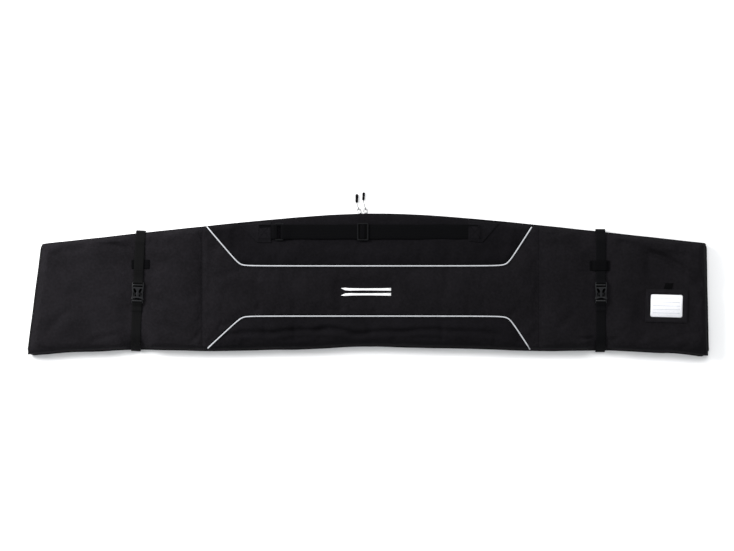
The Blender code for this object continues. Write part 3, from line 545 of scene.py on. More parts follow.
def bake(obj, kind, **values):
    """Give a piece one modifier and keep its result as the mesh."""
    made = obj.modifiers.new(kind.lower(), kind)
    for key, value in values.items():
        setattr(made, key, value)
    graph = bpy.context.evaluated_depsgraph_get()
    new = bpy.data.meshes.new_from_object(obj.evaluated_get(graph))
    obj.modifiers.remove(made)
    old, obj.data = obj.data, new
    bpy.data.meshes.remove(old)
    return new


def run_length(path):
    """Distance along a path at each of its points."""
    return np.concatenate([[0.0], np.cumsum(np.linalg.norm(np.diff(path, axis=0), axis=1))])


def unit(v):
    """Rows scaled to length one."""
    return v / np.maximum(np.linalg.norm(v, axis=-1, keepdims=True), 1e-12)


def tangents(path):
    """Unit directions along a path."""
    return unit(np.gradient(path, axis=0))


def resample(path, step):
    """Smooth curve through a path's points at an even step."""
    pts = np.asarray(path, float)
    ext = np.vstack([2 * pts[0] - pts[1], pts, 2 * pts[-1] - pts[-2]])
    fine = []
    for i in range(1, len(ext) - 2):
        p0, p1, p2, p3 = ext[i - 1:i + 3]
        gaps = [max(np.linalg.norm(b - a), 1e-9) ** 0.5 for a, b in ((p0, p1), (p1, p2), (p2, p3))]
        t0, t1 = 0.0, gaps[0]
        t2 = t1 + gaps[1]
        t3 = t2 + gaps[2]
        for t in np.linspace(t1, t2, 9)[:-1]:
            a1 = (t1 - t) / (t1 - t0) * p0 + (t - t0) / (t1 - t0) * p1
            a2 = (t2 - t) / (t2 - t1) * p1 + (t - t1) / (t2 - t1) * p2
            a3 = (t3 - t) / (t3 - t2) * p2 + (t - t2) / (t3 - t2) * p3
            b1 = (t2 - t) / (t2 - t0) * a1 + (t - t0) / (t2 - t0) * a2
            b2 = (t3 - t) / (t3 - t1) * a2 + (t - t1) / (t3 - t1) * a3
            fine.append((t2 - t) / (t2 - t1) * b1 + (t - t1) / (t2 - t1) * b2)
    fine.append(pts[-1])
    fine = np.array(fine)
    length = run_length(fine)
    count = max(int(round(length[-1] / step)), 2) + 1
    at = np.linspace(0.0, length[-1], count)
    return np.stack([np.interp(at, length, fine[:, k]) for k in range(pts.shape[1])], axis=1)


def sweep(name, path, out, section, mat, body="bag", nodes=()):
    """Closed section, given as (outward, up) pairs, swept along a path, with capped ends."""
    path = np.asarray(path, float)
    section = np.asarray(section, float)
    ring = path[:, None, :] + out[:, None, :] * section[None, :, :1]
    ring[:, :, 2] += section[None, :, 1]
    mesh = mesh_from(name, ring.reshape(-1, 3), tube_faces(len(path), len(section)))
    return add_piece(name, mesh, mat, body, nodes)


def cord_piece(name, path, radius, mat, body="bag", nodes=(), sides=10, cyclic=False, flat=1.0):
    """Round cord along a path."""
    path = np.asarray(path, float)
    if cyclic:
        along = unit(np.roll(path, -1, axis=0) - np.roll(path, 1, axis=0))
    else:
        along = tangents(path)
    side = unit(np.cross(along, np.array([0.0, 0.0, 1.0]) + 0.001))
    up = np.cross(side, along)
    angles = np.linspace(0.0, 2.0 * np.pi, sides, endpoint=False)
    ring = (path[:, None, :] + radius * (np.cos(angles)[None, :, None] * side[:, None, :]
            + flat * np.sin(angles)[None, :, None] * up[:, None, :]))
    rows = len(path)
    last = (rows - 1) * sides
    if cyclic:
        faces = grid_faces(rows, sides, wrap=True)
        faces += [(last + j, j, (j + 1) % sides, last + (j + 1) % sides) for j in range(sides)]
    else:
        faces = tube_faces(rows, sides)
    return add_piece(name, mesh_from(name, ring.reshape(-1, 3), faces), mat, body, nodes)


def webbing(name, place, path, width, mat, body="bag", nodes=(), thickness=WEB_T, step=0.003, ride=True,
            sway=None):
    """Flat webbing with rounded edges swept along a path of (along, height) in a strap's own frame."""
    line = resample(path, step)
    drift = np.zeros(len(line)) if sway is None else sway(line[:, 0])
    along = tangents(line)
    normal = np.stack([-along[:, 1], along[:, 0]], axis=1)
    half, thin = 0.5 * width, 0.5 * thickness
    us = [-half, -half + 0.0003, -half + 0.0010, -0.55 * half, 0.0, 0.55 * half,
          half - 0.0010, half - 0.0003, half]
    hs = [0.0, 0.62, 0.95, 0.90, 0.86, 0.90, 0.95, 0.62, 0.0]
    section = list(zip(us, hs)) + [(u, -h) for u, h in list(zip(us, hs))[-2:0:-1]]
    verts = []
    for p, n, d in zip(line, normal, drift):
        for u, h in section:
            verts.append((u + d, p[0] + n[0] * h * thin, p[1] + n[1] * h * thin))
    count = len(section)
    mesh = mesh_from(name, [place @ Vector(v) for v in verts], tube_faces(len(line), count))
    length = run_length(line)
    uv = mesh.uv_layers.new(name="run")
    for loop in mesh.loops:
        row, col = divmod(loop.vertex_index, count)
        uv.data[loop.index].uv = (section[col][0], length[row])
    return add_piece(name, mesh, mat, body if ride else None, nodes)


def soften(name, node, mat, width=0.0005, segments=2, body=None, crown=None):
    """A CAD part's own shape with moulded, rounded edges, its top domed across if crown gives the frame."""
    source = frame["nodes"][node]
    mesh = source.data.copy()
    bm = bmesh.new()
    bm.from_mesh(mesh)
    bmesh.ops.remove_doubles(bm, verts=bm.verts, dist=0.00001)
    bmesh.ops.dissolve_limit(bm, angle_limit=math.radians(1.0), verts=bm.verts, edges=bm.edges)
    sharp = [e for e in bm.edges if len(e.link_faces) == 2 and e.calc_face_angle(0.0) > math.radians(38)]
    bmesh.ops.bevel(bm, geom=sharp, offset=width, offset_type="OFFSET", segments=segments, profile=0.6,
                    affect="EDGES", clamp_overlap=True)
    if crown is not None:
        across = crown.to_3x3() @ Vector((1.0, 0.0, 0.0))
        length = crown.to_3x3() @ Vector((0.0, 1.0, 0.0))
        cuts = ((across, np.linspace(-0.0135, 0.0135, 28)), (length, np.linspace(-0.0165, 0.0135, 31)))
        for side, steps in cuts:
            for step in steps:
                bmesh.ops.bisect_plane(bm, geom=bm.verts[:] + bm.edges[:] + bm.faces[:], dist=0.000001,
                                       plane_co=crown.translation + side * float(step), plane_no=side)
        back = crown.inverted()
        for v in bm.verts:
            if v.co.z > 0.0464:
                at = back @ v.co
                v.co.z -= 0.0013 * (at.x / 0.0155) ** 2
                if sunk(abs(at.x), at.y) > 0.0:
                    v.co.z -= 0.0007
                elif recessed(abs(at.x), at.y):
                    v.co.z -= 0.0004
    bmesh.ops.triangulate(bm, faces=[f for f in bm.faces if len(f.verts) > 4])
    bm.to_mesh(mesh)
    bm.free()
    mesh.name = name
    obj = add_piece(name, mesh, mat, body or source["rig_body"], (node,))
    mesh.set_sharp_from_angle(angle=math.radians(35))
    return obj


def local_frame(x, y, angle):
    """Placement of a strap's own across/along/up frame."""
    return Matrix.Translation((x, y, 0.0)) @ Matrix.Rotation(angle, 4, "Z")


STITCHES = {}


def stitch(group, path, pitch=0.0046, length=0.0032, width=0.0007, lift=0.00025, body="bag"):
    """Lay a row of thread stitches along a path of points on a surface."""
    line = np.asarray(path, float)
    if len(line) > 2:
        line = resample(line, 0.002)
    run = run_length(line)
    rows = STITCHES.setdefault((group, body), [])
    for s in np.arange(0.5 * pitch, run[-1], pitch):
        a, b = (np.array([np.interp(s + k * 0.5 * length, run, line[:, j]) for j in range(3)])
                for k in (-1, 1))
        rows.append((a, b, width, lift))


def stitch_round(group, corners, *spacing):
    """Stitches along each side of a closed outline."""
    for p, q in zip(corners, corners[1:] + corners[:1]):
        stitch(group, [p, q], *spacing)


THREAD_RINGS = ((0.0, 0.35, -0.4), (0.18, 1.0, 0.75), (0.5, 1.0, 1.0), (0.82, 1.0, 0.75), (1.0, 0.35, -0.4))


def sew():
    """Turn each group of stitches into one piece of small rounded threads."""
    for (group, body), rows in STITCHES.items():
        verts, faces = [], []
        for a, b, width, lift in rows:
            t = unit(b - a)
            side = unit(np.cross(t, [0.0, 0.0, 1.0]))
            up = np.cross(side, t)
            base = len(verts)
            for f, w, h in THREAD_RINGS:
                p = a + (b - a) * f
                half = 0.5 * width * w
                verts += [p - side * half - up * lift * 0.6, p - side * half * 0.6 + up * lift * h,
                          p + side * half * 0.6 + up * lift * h, p + side * half - up * lift * 0.6]
            for i in range(4):
                for j in range(4):
                    k = (j + 1) % 4
                    at = base + 4 * i
                    faces.append((at + j, at + 4 + j, at + 4 + k, at + k))
            faces.append((base, base + 1, base + 2, base + 3))
            faces.append((base + 19, base + 18, base + 17, base + 16))
        add_piece("stitches_" + group, mesh_from("stitches_" + group, verts, faces), THREAD, body)


# ---------------------------------------------------------------- padded shell
HARDWARE = ["handle_patch_left", "handle_patch_right", "handle_ring_tab", "handle_ring", "handle_strap_main",
            "tri_glide", "card_frame", "card_pull_tab", "mark_ski_upper", "mark_ski_lower"]
for side in ("left", "right"):
    HARDWARE += [part % side for part in ("strap_%s_upper", "strap_%s_lower", "strap_keeper_%s",
                                          "buckle_%s_female", "buckle_%s_male")]
FOOTPRINTS = [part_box(n) for n in HARDWARE]
# The tri-glide's travel, and where the pulls land at the ends of the zip.
for x0, x1, y0, y1 in ((-0.165, 0.118, HANDLE_Y - 0.0265, HANDLE_Y + 0.0265),
                       (-0.5625, -0.5480, 0.1150, 0.1600), (0.5640, 0.5810, 0.1150, 0.1600)):
    FOOTPRINTS.append((Vector((x0, y0, 0.0)), Vector((x1, y1, 0.0))))


def free_share(x, y, reach=0.030):
    """0 under straps, buckles and patches, rising to 1 away from them."""
    share = np.ones_like(x)
    for low, high in FOOTPRINTS:
        dx = np.maximum(np.maximum(low.x - x, x - high.x), 0.0)
        dy = np.maximum(np.maximum(low.y - y, y - high.y), 0.0)
        share = np.minimum(share, smooth(np.hypot(dx, dy) / reach))
    return share


def clear_of_card(x, y, reach=0.024):
    """0 along the path the card slides out by, rising to 1 beside it."""
    low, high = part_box("lined_card")[0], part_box("card_pull_tab")[1]
    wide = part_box("lined_card")[1].x
    dx = np.maximum(np.maximum(low.x - 0.003 - x, x - wide - 0.003), 0.0)
    dy = np.maximum(np.maximum(low.y - y, y - high.y - 0.073), 0.0)
    return smooth(np.hypot(dx, dy) / reach)


CREASES = [
    ((-0.370, -0.131), (-0.250, -0.127), 0.0062, 0.0052),
    ((-0.260, -0.128), (-0.130, -0.121), 0.0064, 0.0060),
    ((-0.140, -0.120), (-0.075, -0.116), 0.0075, 0.0062),
    ((-0.085, -0.119), (-0.020, -0.131), 0.0066, 0.0058),
    ((-0.035, -0.131), (0.110, -0.124), 0.0058, 0.0050), ((0.090, -0.124), (0.230, -0.122), 0.0062, 0.0046),
    ((0.220, -0.123), (0.345, -0.131), 0.0064, 0.0044), ((-0.230, -0.143), (-0.090, -0.139), 0.0050, 0.0022),
    ((0.090, -0.140), (0.200, -0.143), 0.0050, 0.0022),
    ((0.672, 0.112), (0.742, 0.088), 0.0100, 0.0058), ((0.735, 0.094), (0.815, 0.052), 0.0110, 0.0070),
    ((0.795, 0.066), (0.885, 0.006), 0.0115, 0.0066), ((0.720, 0.080), (0.800, 0.072), 0.0080, 0.0034),
    ((0.815, 0.096), (0.862, 0.066), 0.0060, 0.0030), ((0.845, 0.030), (0.888, -0.012), 0.0080, 0.0034),
    ((0.566, -0.141), (0.648, -0.1435), 0.0042, 0.0040), ((0.640, -0.152), (0.665, -0.134), 0.0045, 0.0018),
    ((-0.586, 0.112), (-0.548, 0.118), 0.0100, 0.0058), ((-0.680, 0.108), (-0.628, 0.092), 0.0085, 0.0048),
    ((-0.722, 0.112), (-0.655, 0.086), 0.0100, 0.0036), ((-0.560, 0.096), (-0.505, 0.108), 0.0090, 0.0024),
    ((-0.850, -0.130), (-0.780, -0.060), 0.0120, 0.0026), ((-0.835, 0.078), (-0.745, 0.098), 0.0100, 0.0030),
    ((-0.730, -0.150), (-0.660, -0.130), 0.0080, 0.0024), ((0.480, 0.110), (0.560, 0.090), 0.0100, 0.0024),
    ((0.500, -0.120), (0.560, -0.060), 0.0100, 0.0020), ((-0.560, -0.100), (-0.470, -0.130), 0.0100, 0.0024),
    ((0.800, -0.140), (0.885, -0.126), 0.0090, 0.0028), ((-0.400, 0.020), (-0.335, 0.038), 0.0090, 0.0020),
    ((0.290, 0.090), (0.400, 0.100), 0.0090, 0.0022), ((-0.420, -0.040), (-0.405, 0.110), 0.0120, 0.0022),
]


def creased(x, y):
    """Depth of the soft folds at a point."""
    depth = np.zeros_like(x)
    for (ax, ay), (bx, by), width, deep in CREASES:
        dx, dy = bx - ax, by - ay
        t = ((x - ax) * dx + (y - ay) * dy) / (dx * dx + dy * dy)
        bow = 0.12 * math.hypot(dx, dy) * 0.25 * np.sin(np.pi * np.clip(t, 0, 1))
        px, py = ax + dx * t, ay + dy * t + bow
        d = np.abs((x - px) * dy - (y - py) * dx) / math.hypot(dx, dy)
        fade = smooth((t + 0.25) / 0.5) * smooth((1.25 - t) / 0.5)
        valley = np.exp(-(d / width) ** 2)
        ridge = 0.45 * np.exp(-((d - 2.1 * width) / (1.3 * width)) ** 2)
        depth += fade * deep * (valley - ridge)
    return depth


def lumps(x, y):
    """Gentle unevenness of the foam and cloth."""
    out = np.empty(x.size)
    for i, (a, b) in enumerate(zip(x.ravel(), y.ravel())):
        big = noise.noise(Vector((a * 7.0, b * 11.0, 3.1)))
        mid = noise.noise(Vector((a * 22.0, b * 30.0, 8.7)))
        small = noise.noise(Vector((a * 60.0, b * 70.0, 1.9)))
        out[i] = 0.0016 * big + 0.0009 * mid + 0.0003 * small
    return out.reshape(x.shape)


def clustered(count, pull=0.85):
    """Shares from 0 to 1, closer together at both ends."""
    t = np.linspace(0.0, 1.0, count)
    return t - pull * np.sin(2.0 * np.pi * t) / (2.0 * np.pi)


def relax(obj, rest, hold, cap):
    """Let the skin swell and wrinkle as cloth, pinned where hold is 1, then keep at most cap of movement."""
    group = obj.vertex_groups.new(name="pinned")
    for i, h in enumerate(hold):
        if h > 0.001:
            group.add([i], float(h), "REPLACE")
    cloth = obj.modifiers.new("cloth", "CLOTH")
    settings = cloth.settings
    settings.vertex_group_mass = "pinned"
    settings.quality = 5
    settings.mass = 0.25
    settings.tension_stiffness = 12.0
    settings.compression_stiffness = 12.0
    settings.shear_stiffness = 4.0
    settings.bending_stiffness = 0.35
    settings.use_pressure = True
    settings.uniform_pressure_force = 3.5
    settings.shrink_min = -0.022
    settings.effector_weights.gravity = 0.0
    cloth.collision_settings.use_self_collision = False
    cloth.collision_settings.use_collision = False
    scene = bpy.context.scene
    for step in range(1, 21):
        scene.frame_set(step)
    graph = bpy.context.evaluated_depsgraph_get()
    moved = obj.evaluated_get(graph).to_mesh()
    after = np.empty(len(rest) * 3)
    moved.vertices.foreach_get("co", after)
    obj.evaluated_get(graph).to_mesh_clear()
    after = after.reshape(-1, 3)
    obj.modifiers.remove(cloth)
    scene.frame_set(1)
    delta = np.nan_to_num(after - rest)
    size = np.linalg.norm(delta, axis=1, keepdims=True)
    delta *= cap * np.tanh(size / cap) / np.maximum(size, 1e-9)
    delta *= (1.0 - hold)[:, None]
    obj.data.vertices.foreach_set("co", (rest + delta).ravel())
    obj.data.update()


def skin(name, node, xs, ys, edge_u, edge_v, mat, puff=PUFF):
    """Padded panel over a grid of places. edge_u and edge_v say which borders are seams, low and high."""
    rows, cols = xs.shape
    share = free_share(xs, ys)
    away = np.full(xs.shape, 0.2)
    run_u = np.hypot(np.gradient(xs, axis=0), np.gradient(ys, axis=0))
    run_v = np.hypot(np.gradient(xs, axis=1), np.gradient(ys, axis=1))
    from_low_v = np.cumsum(run_v, axis=1) - run_v[:, :1]
    from_high_v = from_low_v[:, -1:] - from_low_v
    from_low_u = np.cumsum(run_u, axis=0) - run_u[:1, :]
    from_high_u = from_low_u[-1:, :] - from_low_u
    for flag, dist in zip((*edge_u, *edge_v), (from_low_u, from_high_u, from_low_v, from_high_v)):
        if flag:
            away = np.minimum(away, dist)
    swell = puff * (1.0 - np.exp(-away / 0.028))
    rim = np.minimum(np.minimum(from_low_u, from_high_u), np.minimum(from_low_v, from_high_v))
    hold = np.clip(1.0 - rim / 0.010, 0.0, 1.0)
    hold = np.maximum(hold, 1.0 - share)
    seam = np.clip(rim / 0.012, 0.0, 1.0)
    lofted = loft_z(xs, ys) - surface_z(xs, ys)
    zs = surface_z(xs, ys) + share * (lofted + swell * seam * clear_of_card(xs, ys, 0.065))
    rest = np.stack([xs, ys, zs], axis=2).reshape(-1, 3)
    mesh = mesh_from(name, rest, grid_faces(rows, cols))
    if mesh.polygons[len(mesh.polygons) // 2].normal.z < 0:
        mesh.flip_normals()
    obj = add_piece(name, mesh, mat, None)
    relax(obj, rest, hold.ravel(), SWELL_MAX)
    fine = bake(obj, "SUBSURF", levels=1, render_levels=1)
    co = np.empty(len(fine.vertices) * 3)
    fine.vertices.foreach_get("co", co)
    co = co.reshape(-1, 3)
    x, y = co[:, 0], co[:, 1]
    pipes = np.minimum(np.abs(y - pipe_upper(x)), np.abs(y - pipe_lower(x)))
    if name in ("panel_left", "panel_right"):
        pipes = np.ones_like(x)
    left, right = np.abs(x - SEAM_LEFT_X), np.abs(x - SEAM_RIGHT_X)
    free = free_share(x, y, 0.022)
    inside = smooth((y - bottom_edge(x)) / 0.016) * smooth((top_edge(x) - y) / 0.014)
    inside *= smooth((x - end_line(LEFT_LOW, LEFT_HIGH, y)) / 0.016)
    inside *= smooth((end_line(RIGHT_LOW, RIGHT_HIGH, y) - x) / 0.016)
    inside *= smooth(np.minimum(pipes, np.minimum(left, right)) / 0.010)
    co[:, 2] += lumps(x, y) * free * inside
    pipes, left, right = (deep * np.exp(-(gap / wide) ** 2) for gap, (deep, wide) in (
        (pipes, PIPE_GROOVE), (left, LEFT_GROOVE), (right, RIGHT_GROOVE)))
    co[:, 2] -= np.maximum(pipes, left)
    co[:, 2] -= right
    limit = surface_z(x, y) - 0.0003 + SKIN_ROOM * free * clear_of_card(x, y, 0.040)
    co[:, 2] = np.minimum(co[:, 2], limit)
    folds = creased(x, y)
    co[:, 2] -= np.where(folds < 0.0, folds * clear_of_card(x, y, 0.040), folds) * free * inside
    fine.vertices.foreach_set("co", co.ravel())
    solid = bake(obj, "SOLIDIFY", thickness=SKIN_T, offset=-1.0)
    solid.polygons.foreach_set("use_smooth", [True] * len(solid.polygons))
    solid.materials.append(FOLD)
    for face in solid.polygons:
        fx, fy = face.center.x, face.center.y
        near_left = fx - end_line(LEFT_LOW, LEFT_HIGH, fy) < TAPE_FACE_LEFT
        if near_left or end_line(RIGHT_LOW, RIGHT_HIGH, fy) - fx < TAPE_FACE_RIGHT:
            face.material_index = 1
    obj.data.name = name
    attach(obj, "bag")
    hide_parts(node)


def strip_places(x0, x1, low, high, count_u, count_v, pull_u=0.6):
    """Grid of places between two lines that run along the bag."""
    u = clustered(count_u, pull_u)
    v = clustered(count_v)
    x = (x0 + (x1 - x0) * u)[:, None] * np.ones((1, count_v))
    a, b = low(x[:, 0]), high(x[:, 0])
    return x, a[:, None] + (b - a)[:, None] * v[None, :]


def end_places(low, high, seam, count_u, count_v):
    """Grid of places between an end line and a seam across the bag."""
    u = clustered(count_u, 0.8)[:, None] * np.ones((1, count_v))
    v = np.ones((count_u, 1)) * clustered(count_v, 0.8)[None, :]
    x = np.full(u.shape, seam)
    y = np.zeros(u.shape)
    for _ in range(5):
        y = bottom_edge(x) + (top_edge(x) - bottom_edge(x)) * v
        end = end_line(low, high, y)
        x = end + (seam - end) * u
    return x, y


def build_shell():
    """The five front panels."""
    x, y = end_places(LEFT_LOW, LEFT_HIGH, SEAM_LEFT_X, 62, 48)
    skin("panel_left", "front_panel_left", x, y, (0, 1), (0, 0), SHELL)
    x, y = end_places(RIGHT_LOW, RIGHT_HIGH, SEAM_RIGHT_X, 62, 48)
    skin("panel_right", "front_panel_right", x, y, (0, 1), (0, 0), SHELL)
    x, y = strip_places(-0.4265, 0.4335, lambda t: np.minimum(pipe_upper(t) + 0.0010, top_edge(t) - 0.0005),
                        top_edge, 124, 20)
    skin("panel_upper", "front_panel_upper", x, y, (0, 0), (1, 0), SHELL_EDGE, PUFF_EDGE)
    x, y = strip_places(-0.4265, 0.4300, bottom_edge,
                        lambda t: np.maximum(pipe_lower(t) - 0.0010, bottom_edge(t) + 0.0005), 124, 16)
    skin("panel_lower", "front_panel_lower", x, y, (0, 0), (0, 1), SHELL_EDGE, PUFF_EDGE)
    x, y = strip_places(SEAM_LEFT_X, SEAM_RIGHT_X,
                        lambda t: np.maximum(bottom_edge(t), pipe_lower(t) + 0.0010),
                        lambda t: np.minimum(top_edge(t), pipe_upper(t) - 0.0010), 130, 30, 0.5)
    skin("panel_centre", "front_panel_centre", x, y, (1, 1), (1, 1), SHELL)


def skin_height(x, y):
    """Height of the skin at a seam, for things sewn on it."""
    x, y = np.asarray(x, float), np.asarray(y, float)
    return surface_z(x, y) + free_share(x, y) * (loft_z(x, y) - surface_z(x, y))


build_shell()


def out_vectors(path):
    """Level unit vectors to the left of a path's direction."""
    along = tangents(np.asarray(path, float))
    along[:, 2] = 0.0
    along = unit(along)
    return np.stack([-along[:, 1], along[:, 0], np.zeros(len(along))], axis=1)


def build_edges():
    """Folded bottom edge and ends, zip-side rims and the back panel."""
    ys = np.linspace(0.100, -0.174, 24)
    left = [(end_line(LEFT_LOW, LEFT_HIGH, y), y) for y in ys]
    bottom = [(x, float(bottom_edge(x))) for x in np.linspace(-0.885, 0.885, 120)]
    right = [(end_line(RIGHT_LOW, RIGHT_HIGH, y), y) for y in ys[::-1]]
    path = resample([(-0.8560, 0.1075), *left, *bottom, *right, (0.8905, 0.1075)], 0.008)
    path = np.column_stack([path, np.zeros(len(path))])
    wobble = np.array([0.0007 * noise.noise(Vector((p[0] * 14.0, p[1] * 14.0, 5.0))) for p in path])
    out = -out_vectors(path)
    path = path + out * wobble[:, None]
    fold = [(-0.0060, 0.0118), (-0.0030, 0.0122), (-0.0005, 0.0117), (0.0013, 0.0102), (0.0022, 0.0078),
            (0.0023, 0.0050), (0.0017, 0.0026), (0.0003, 0.0009), (-0.0025, 0.0002), (-0.0100, 0.0002),
            (-0.0100, 0.0020), (-0.0075, 0.0060)]
    sweep("edge_fold", path, out, fold, FOLD, "bag",
          ("bottom_fold_tape", "end_seam_tape_left", "end_seam_tape_right"))

    xs = np.linspace(-0.858, 0.892, 220)
    rim = np.column_stack([xs, top_edge(xs), skin_height(xs, top_edge(xs))])
    out = out_vectors(rim)
    wobble = np.array([0.0005 * noise.noise(Vector((x * 15.0, 2.0, 9.0))) for x in xs])
    rim = rim + out * wobble[:, None]
    section = [(-0.0060, 0.0026), (-0.0030, 0.0018), (-0.0008, 0.0008), (0.0006, -0.0004), (0.0012, -0.0018),
               (0.0008, -0.0031), (-0.0010, -0.0041), (-0.0050, -0.0045), (-0.0080, -0.0030)]
    sweep("edge_zip_rim", rim, out, section, TAPE, "bag")
    low = np.column_stack([xs, top_edge(xs), np.zeros(len(xs))])
    section = [(-0.0100, 0.0002), (-0.0015, 0.0002), (0.0004, 0.0008), (0.0012, 0.0024), (0.0009, 0.0043),
               (-0.0006, 0.0055), (-0.0100, 0.0056)]
    sweep("edge_back_rim", low, out_vectors(low), section, TAPE, "bag")

    u = np.linspace(0.004, 0.996, 150)[:, None] * np.ones((1, 34))
    v = np.ones((150, 1)) * np.linspace(0.015, 0.985, 34)[None, :]
    x = -0.88 + 1.76 * u
    y = bottom_edge(x) + (top_edge(x) - bottom_edge(x)) * v
    start, stop = end_line(LEFT_LOW, LEFT_HIGH, y), end_line(RIGHT_LOW, RIGHT_HIGH, y)
    x = start + (stop - start) * u
    z = np.full(x.shape, 0.0004)
    for spec in (LEFT_STRAP, RIGHT_STRAP):
        c, s = math.cos(spec[2]), math.sin(spec[2])
        across = np.abs((x - spec[0]) * c + (y - spec[1]) * s)
        z = np.maximum(z, 0.0004 + 0.0019 * (1.0 - smooth((across - 0.0135) / 0.012)))
    bottom = np.stack([x, y, z], axis=2).reshape(-1, 3)
    top = bottom.copy()
    top[:, 2] = 0.0054
    rows, cols = x.shape
    faces = grid_faces(rows, cols)
    offset = rows * cols
    faces += [tuple(offset + k for k in reversed(f)) for f in grid_faces(rows, cols)]
    loop = [i * cols for i in range(rows)] + [(rows - 1) * cols + j for j in range(1, cols)]
    loop += [i * cols + cols - 1 for i in range(rows - 2, -1, -1)] + [j for j in range(cols - 2, 0, -1)]
    faces += [(a, b, offset + b, offset + a) for a, b in zip(loop, loop[1:] + loop[:1])]
    mesh = mesh_from("panel_back", np.vstack([bottom, top]), faces)
    back = add_piece("panel_back", mesh, SHELL, "bag", ("back_panel",))


build_edges()


def line_points(line, x0, x1, count, shift=0.0, lift=0.0):
    """Points along a piping or edge line, shifted square to it, on the skin."""
    x = np.linspace(x0, x1, count)
    slope = (line(x + 0.0005) - line(x - 0.0005)) / 0.001
    norm = np.hypot(1.0, slope)
    px = x - shift * slope / norm
    py = line(x) + shift / norm
    return np.column_stack([px, py, skin_height(px, py) + lift])


def build_piping():
    """Light piping cords, the topstitching beside them and a row along the left seam."""
    for name, node, line, x0, x1 in (("piping_cord_upper", "piping_upper", pipe_upper, -0.4240, 0.4330),
                                     ("piping_cord_lower", "piping_lower", pipe_lower, -0.4215, 0.4290)):
        path = resample(line_points(line, x0, x1, 120, 0.0, 0.0003), 0.004)
        cord_piece(name, path, 0.0017, PIPING, "bag", (node,))
        for shift in (-0.0055, 0.0055):
            row = line_points(line, x0 + 0.012, x1 - 0.012, 160, shift, 0.0008)
            stitch("piping", row, 0.0044, 0.0028, 0.0005, 0.0002)
    x = np.full(60, SEAM_LEFT_X - 0.0035)
    y = np.linspace(float(bottom_edge(x[0])) + 0.012, float(top_edge(x[0])) - 0.012, 60)
    stitch("seam", np.column_stack([x, y, skin_height(x, y) - 0.0002]), 0.0042, 0.0024, 0.0004, 0.0002)


build_piping()


# ---------------------------------------------------------------- pictogram, zip and pulls
def build_mark():
    """Flat printed skis at the middle."""
    for node in ("mark_ski_upper", "mark_ski_lower"):
        soften("print_" + node[5:], node, PRINT, 0.0001, 1)


def track_frame(x):
    """Placement at a point of the zip, turned with its arc."""
    angle = -math.asin((x - ZIP_CENTRE_X) / ZIP_R) if ZIP_ARC_LOW < x < ZIP_ARC_HIGH else 0.0
    return Matrix.Translation((x, float(zip_track(x)), ZIP_Z)) @ Matrix.Rotation(angle, 4, "Z")


GARAGE_SECTION = ((-0.006, 0.0), (0.0012, 0.0), (0.0026, 0.3), (0.0026, 0.7), (0.0012, 1.0), (-0.006, 1.0))


def build_zip():
    """Tapes, coil with its teeth, and the end tabs."""
    xs = np.linspace(ZIP_X0, ZIP_X1, 260)
    path = np.column_stack([xs, zip_track(xs), np.zeros(len(xs))])
    out = out_vectors(path)
    lower = [(-0.0016, 0.0050), (-0.0003, 0.0051), (0.0001, 0.0070), (0.0001, 0.0095), (-0.0002, 0.0102),
             (-0.0012, 0.0102)]
    upper = [(-0.0012, 0.0128), (-0.0002, 0.0128), (0.0001, 0.0140), (0.0002, 0.0175), (-0.0006, 0.0222),
             (-0.0020, 0.0226)]
    sweep("zip_cloth_lower", path, out, lower, TAPE, "bag", ("zip_tape_lower",))
    sweep("zip_cloth_upper", path, out, upper, TAPE, "bag", ("zip_tape_upper",))
    coil = [(-0.0006, 0.0100), (0.0008, 0.0100), (0.0015, 0.0108), (0.0015, 0.0122), (0.0008, 0.0130),
            (-0.0006, 0.0130)]
    sweep("zip_coil_core", path, out, coil, COIL, "bag", ("zip_coil",))
    verts, faces = [], []
    for k, x in enumerate(np.arange(ZIP_X0 + 0.003, ZIP_X1 - 0.003, 0.0024)):
        place = track_frame(x)
        base = len(verts)
        shift = 0.0004 if k % 2 else -0.0004
        for z in (-0.0014, -0.0006, 0.0006, 0.0014):
            wide = 0.00075 if abs(z) < 0.001 else 0.00055
            deep = 0.0021 if abs(z) < 0.001 else 0.0015
            for px, py in ((-wide + shift, 0.0010), (wide + shift, 0.0010), (wide * 0.5 + shift, deep),
                           (-wide * 0.5 + shift, deep)):
                verts.append(place @ Vector((px, py, z)))
        for i in range(3):
            for j in range(4):
                n = (j + 1) % 4
                faces.append((base + 4 * i + j, base + 4 * i + n, base + 4 * i + 4 + n, base + 4 * i + 4 + j))
        faces.append((base + 3, base + 2, base + 1, base))
        faces.append((base + 12, base + 13, base + 14, base + 15))
    add_piece("zip_coil_teeth", mesh_from("zip_coil_teeth", verts, faces), COIL, "bag")
    for x_a, x_b, name, node in ((-0.846, ZIP_X0 + 0.004, "zip_garage_left", "zip_end_tab_left"),
                                 (ZIP_X1 - 0.004, 0.874, "zip_garage_right", "zip_end_tab_right")):
        xs = np.linspace(x_a, x_b, 16)
        rim = skin_height(xs, top_edge(xs))
        place = np.column_stack([xs, np.minimum(zip_track(xs), top_edge(xs) - 0.001), np.zeros(16)])
        out = out_vectors(place)
        verts = []
        for p, o, z in zip(place, out, rim):
            for n, h in GARAGE_SECTION:
                verts.append((p[0] + o[0] * n, p[1] + o[1] * n, 0.0048 + (z - 0.0022 - 0.0048) * h))
        add_piece(name, mesh_from(name, verts, tube_faces(16, 6)), TAPE, "bag", (node,))


LUG_OUT, BAIL_LEN, BAIL_W, BAIL_SLOPE = 0.0078, 0.0155, 0.0088, math.radians(-33.0)


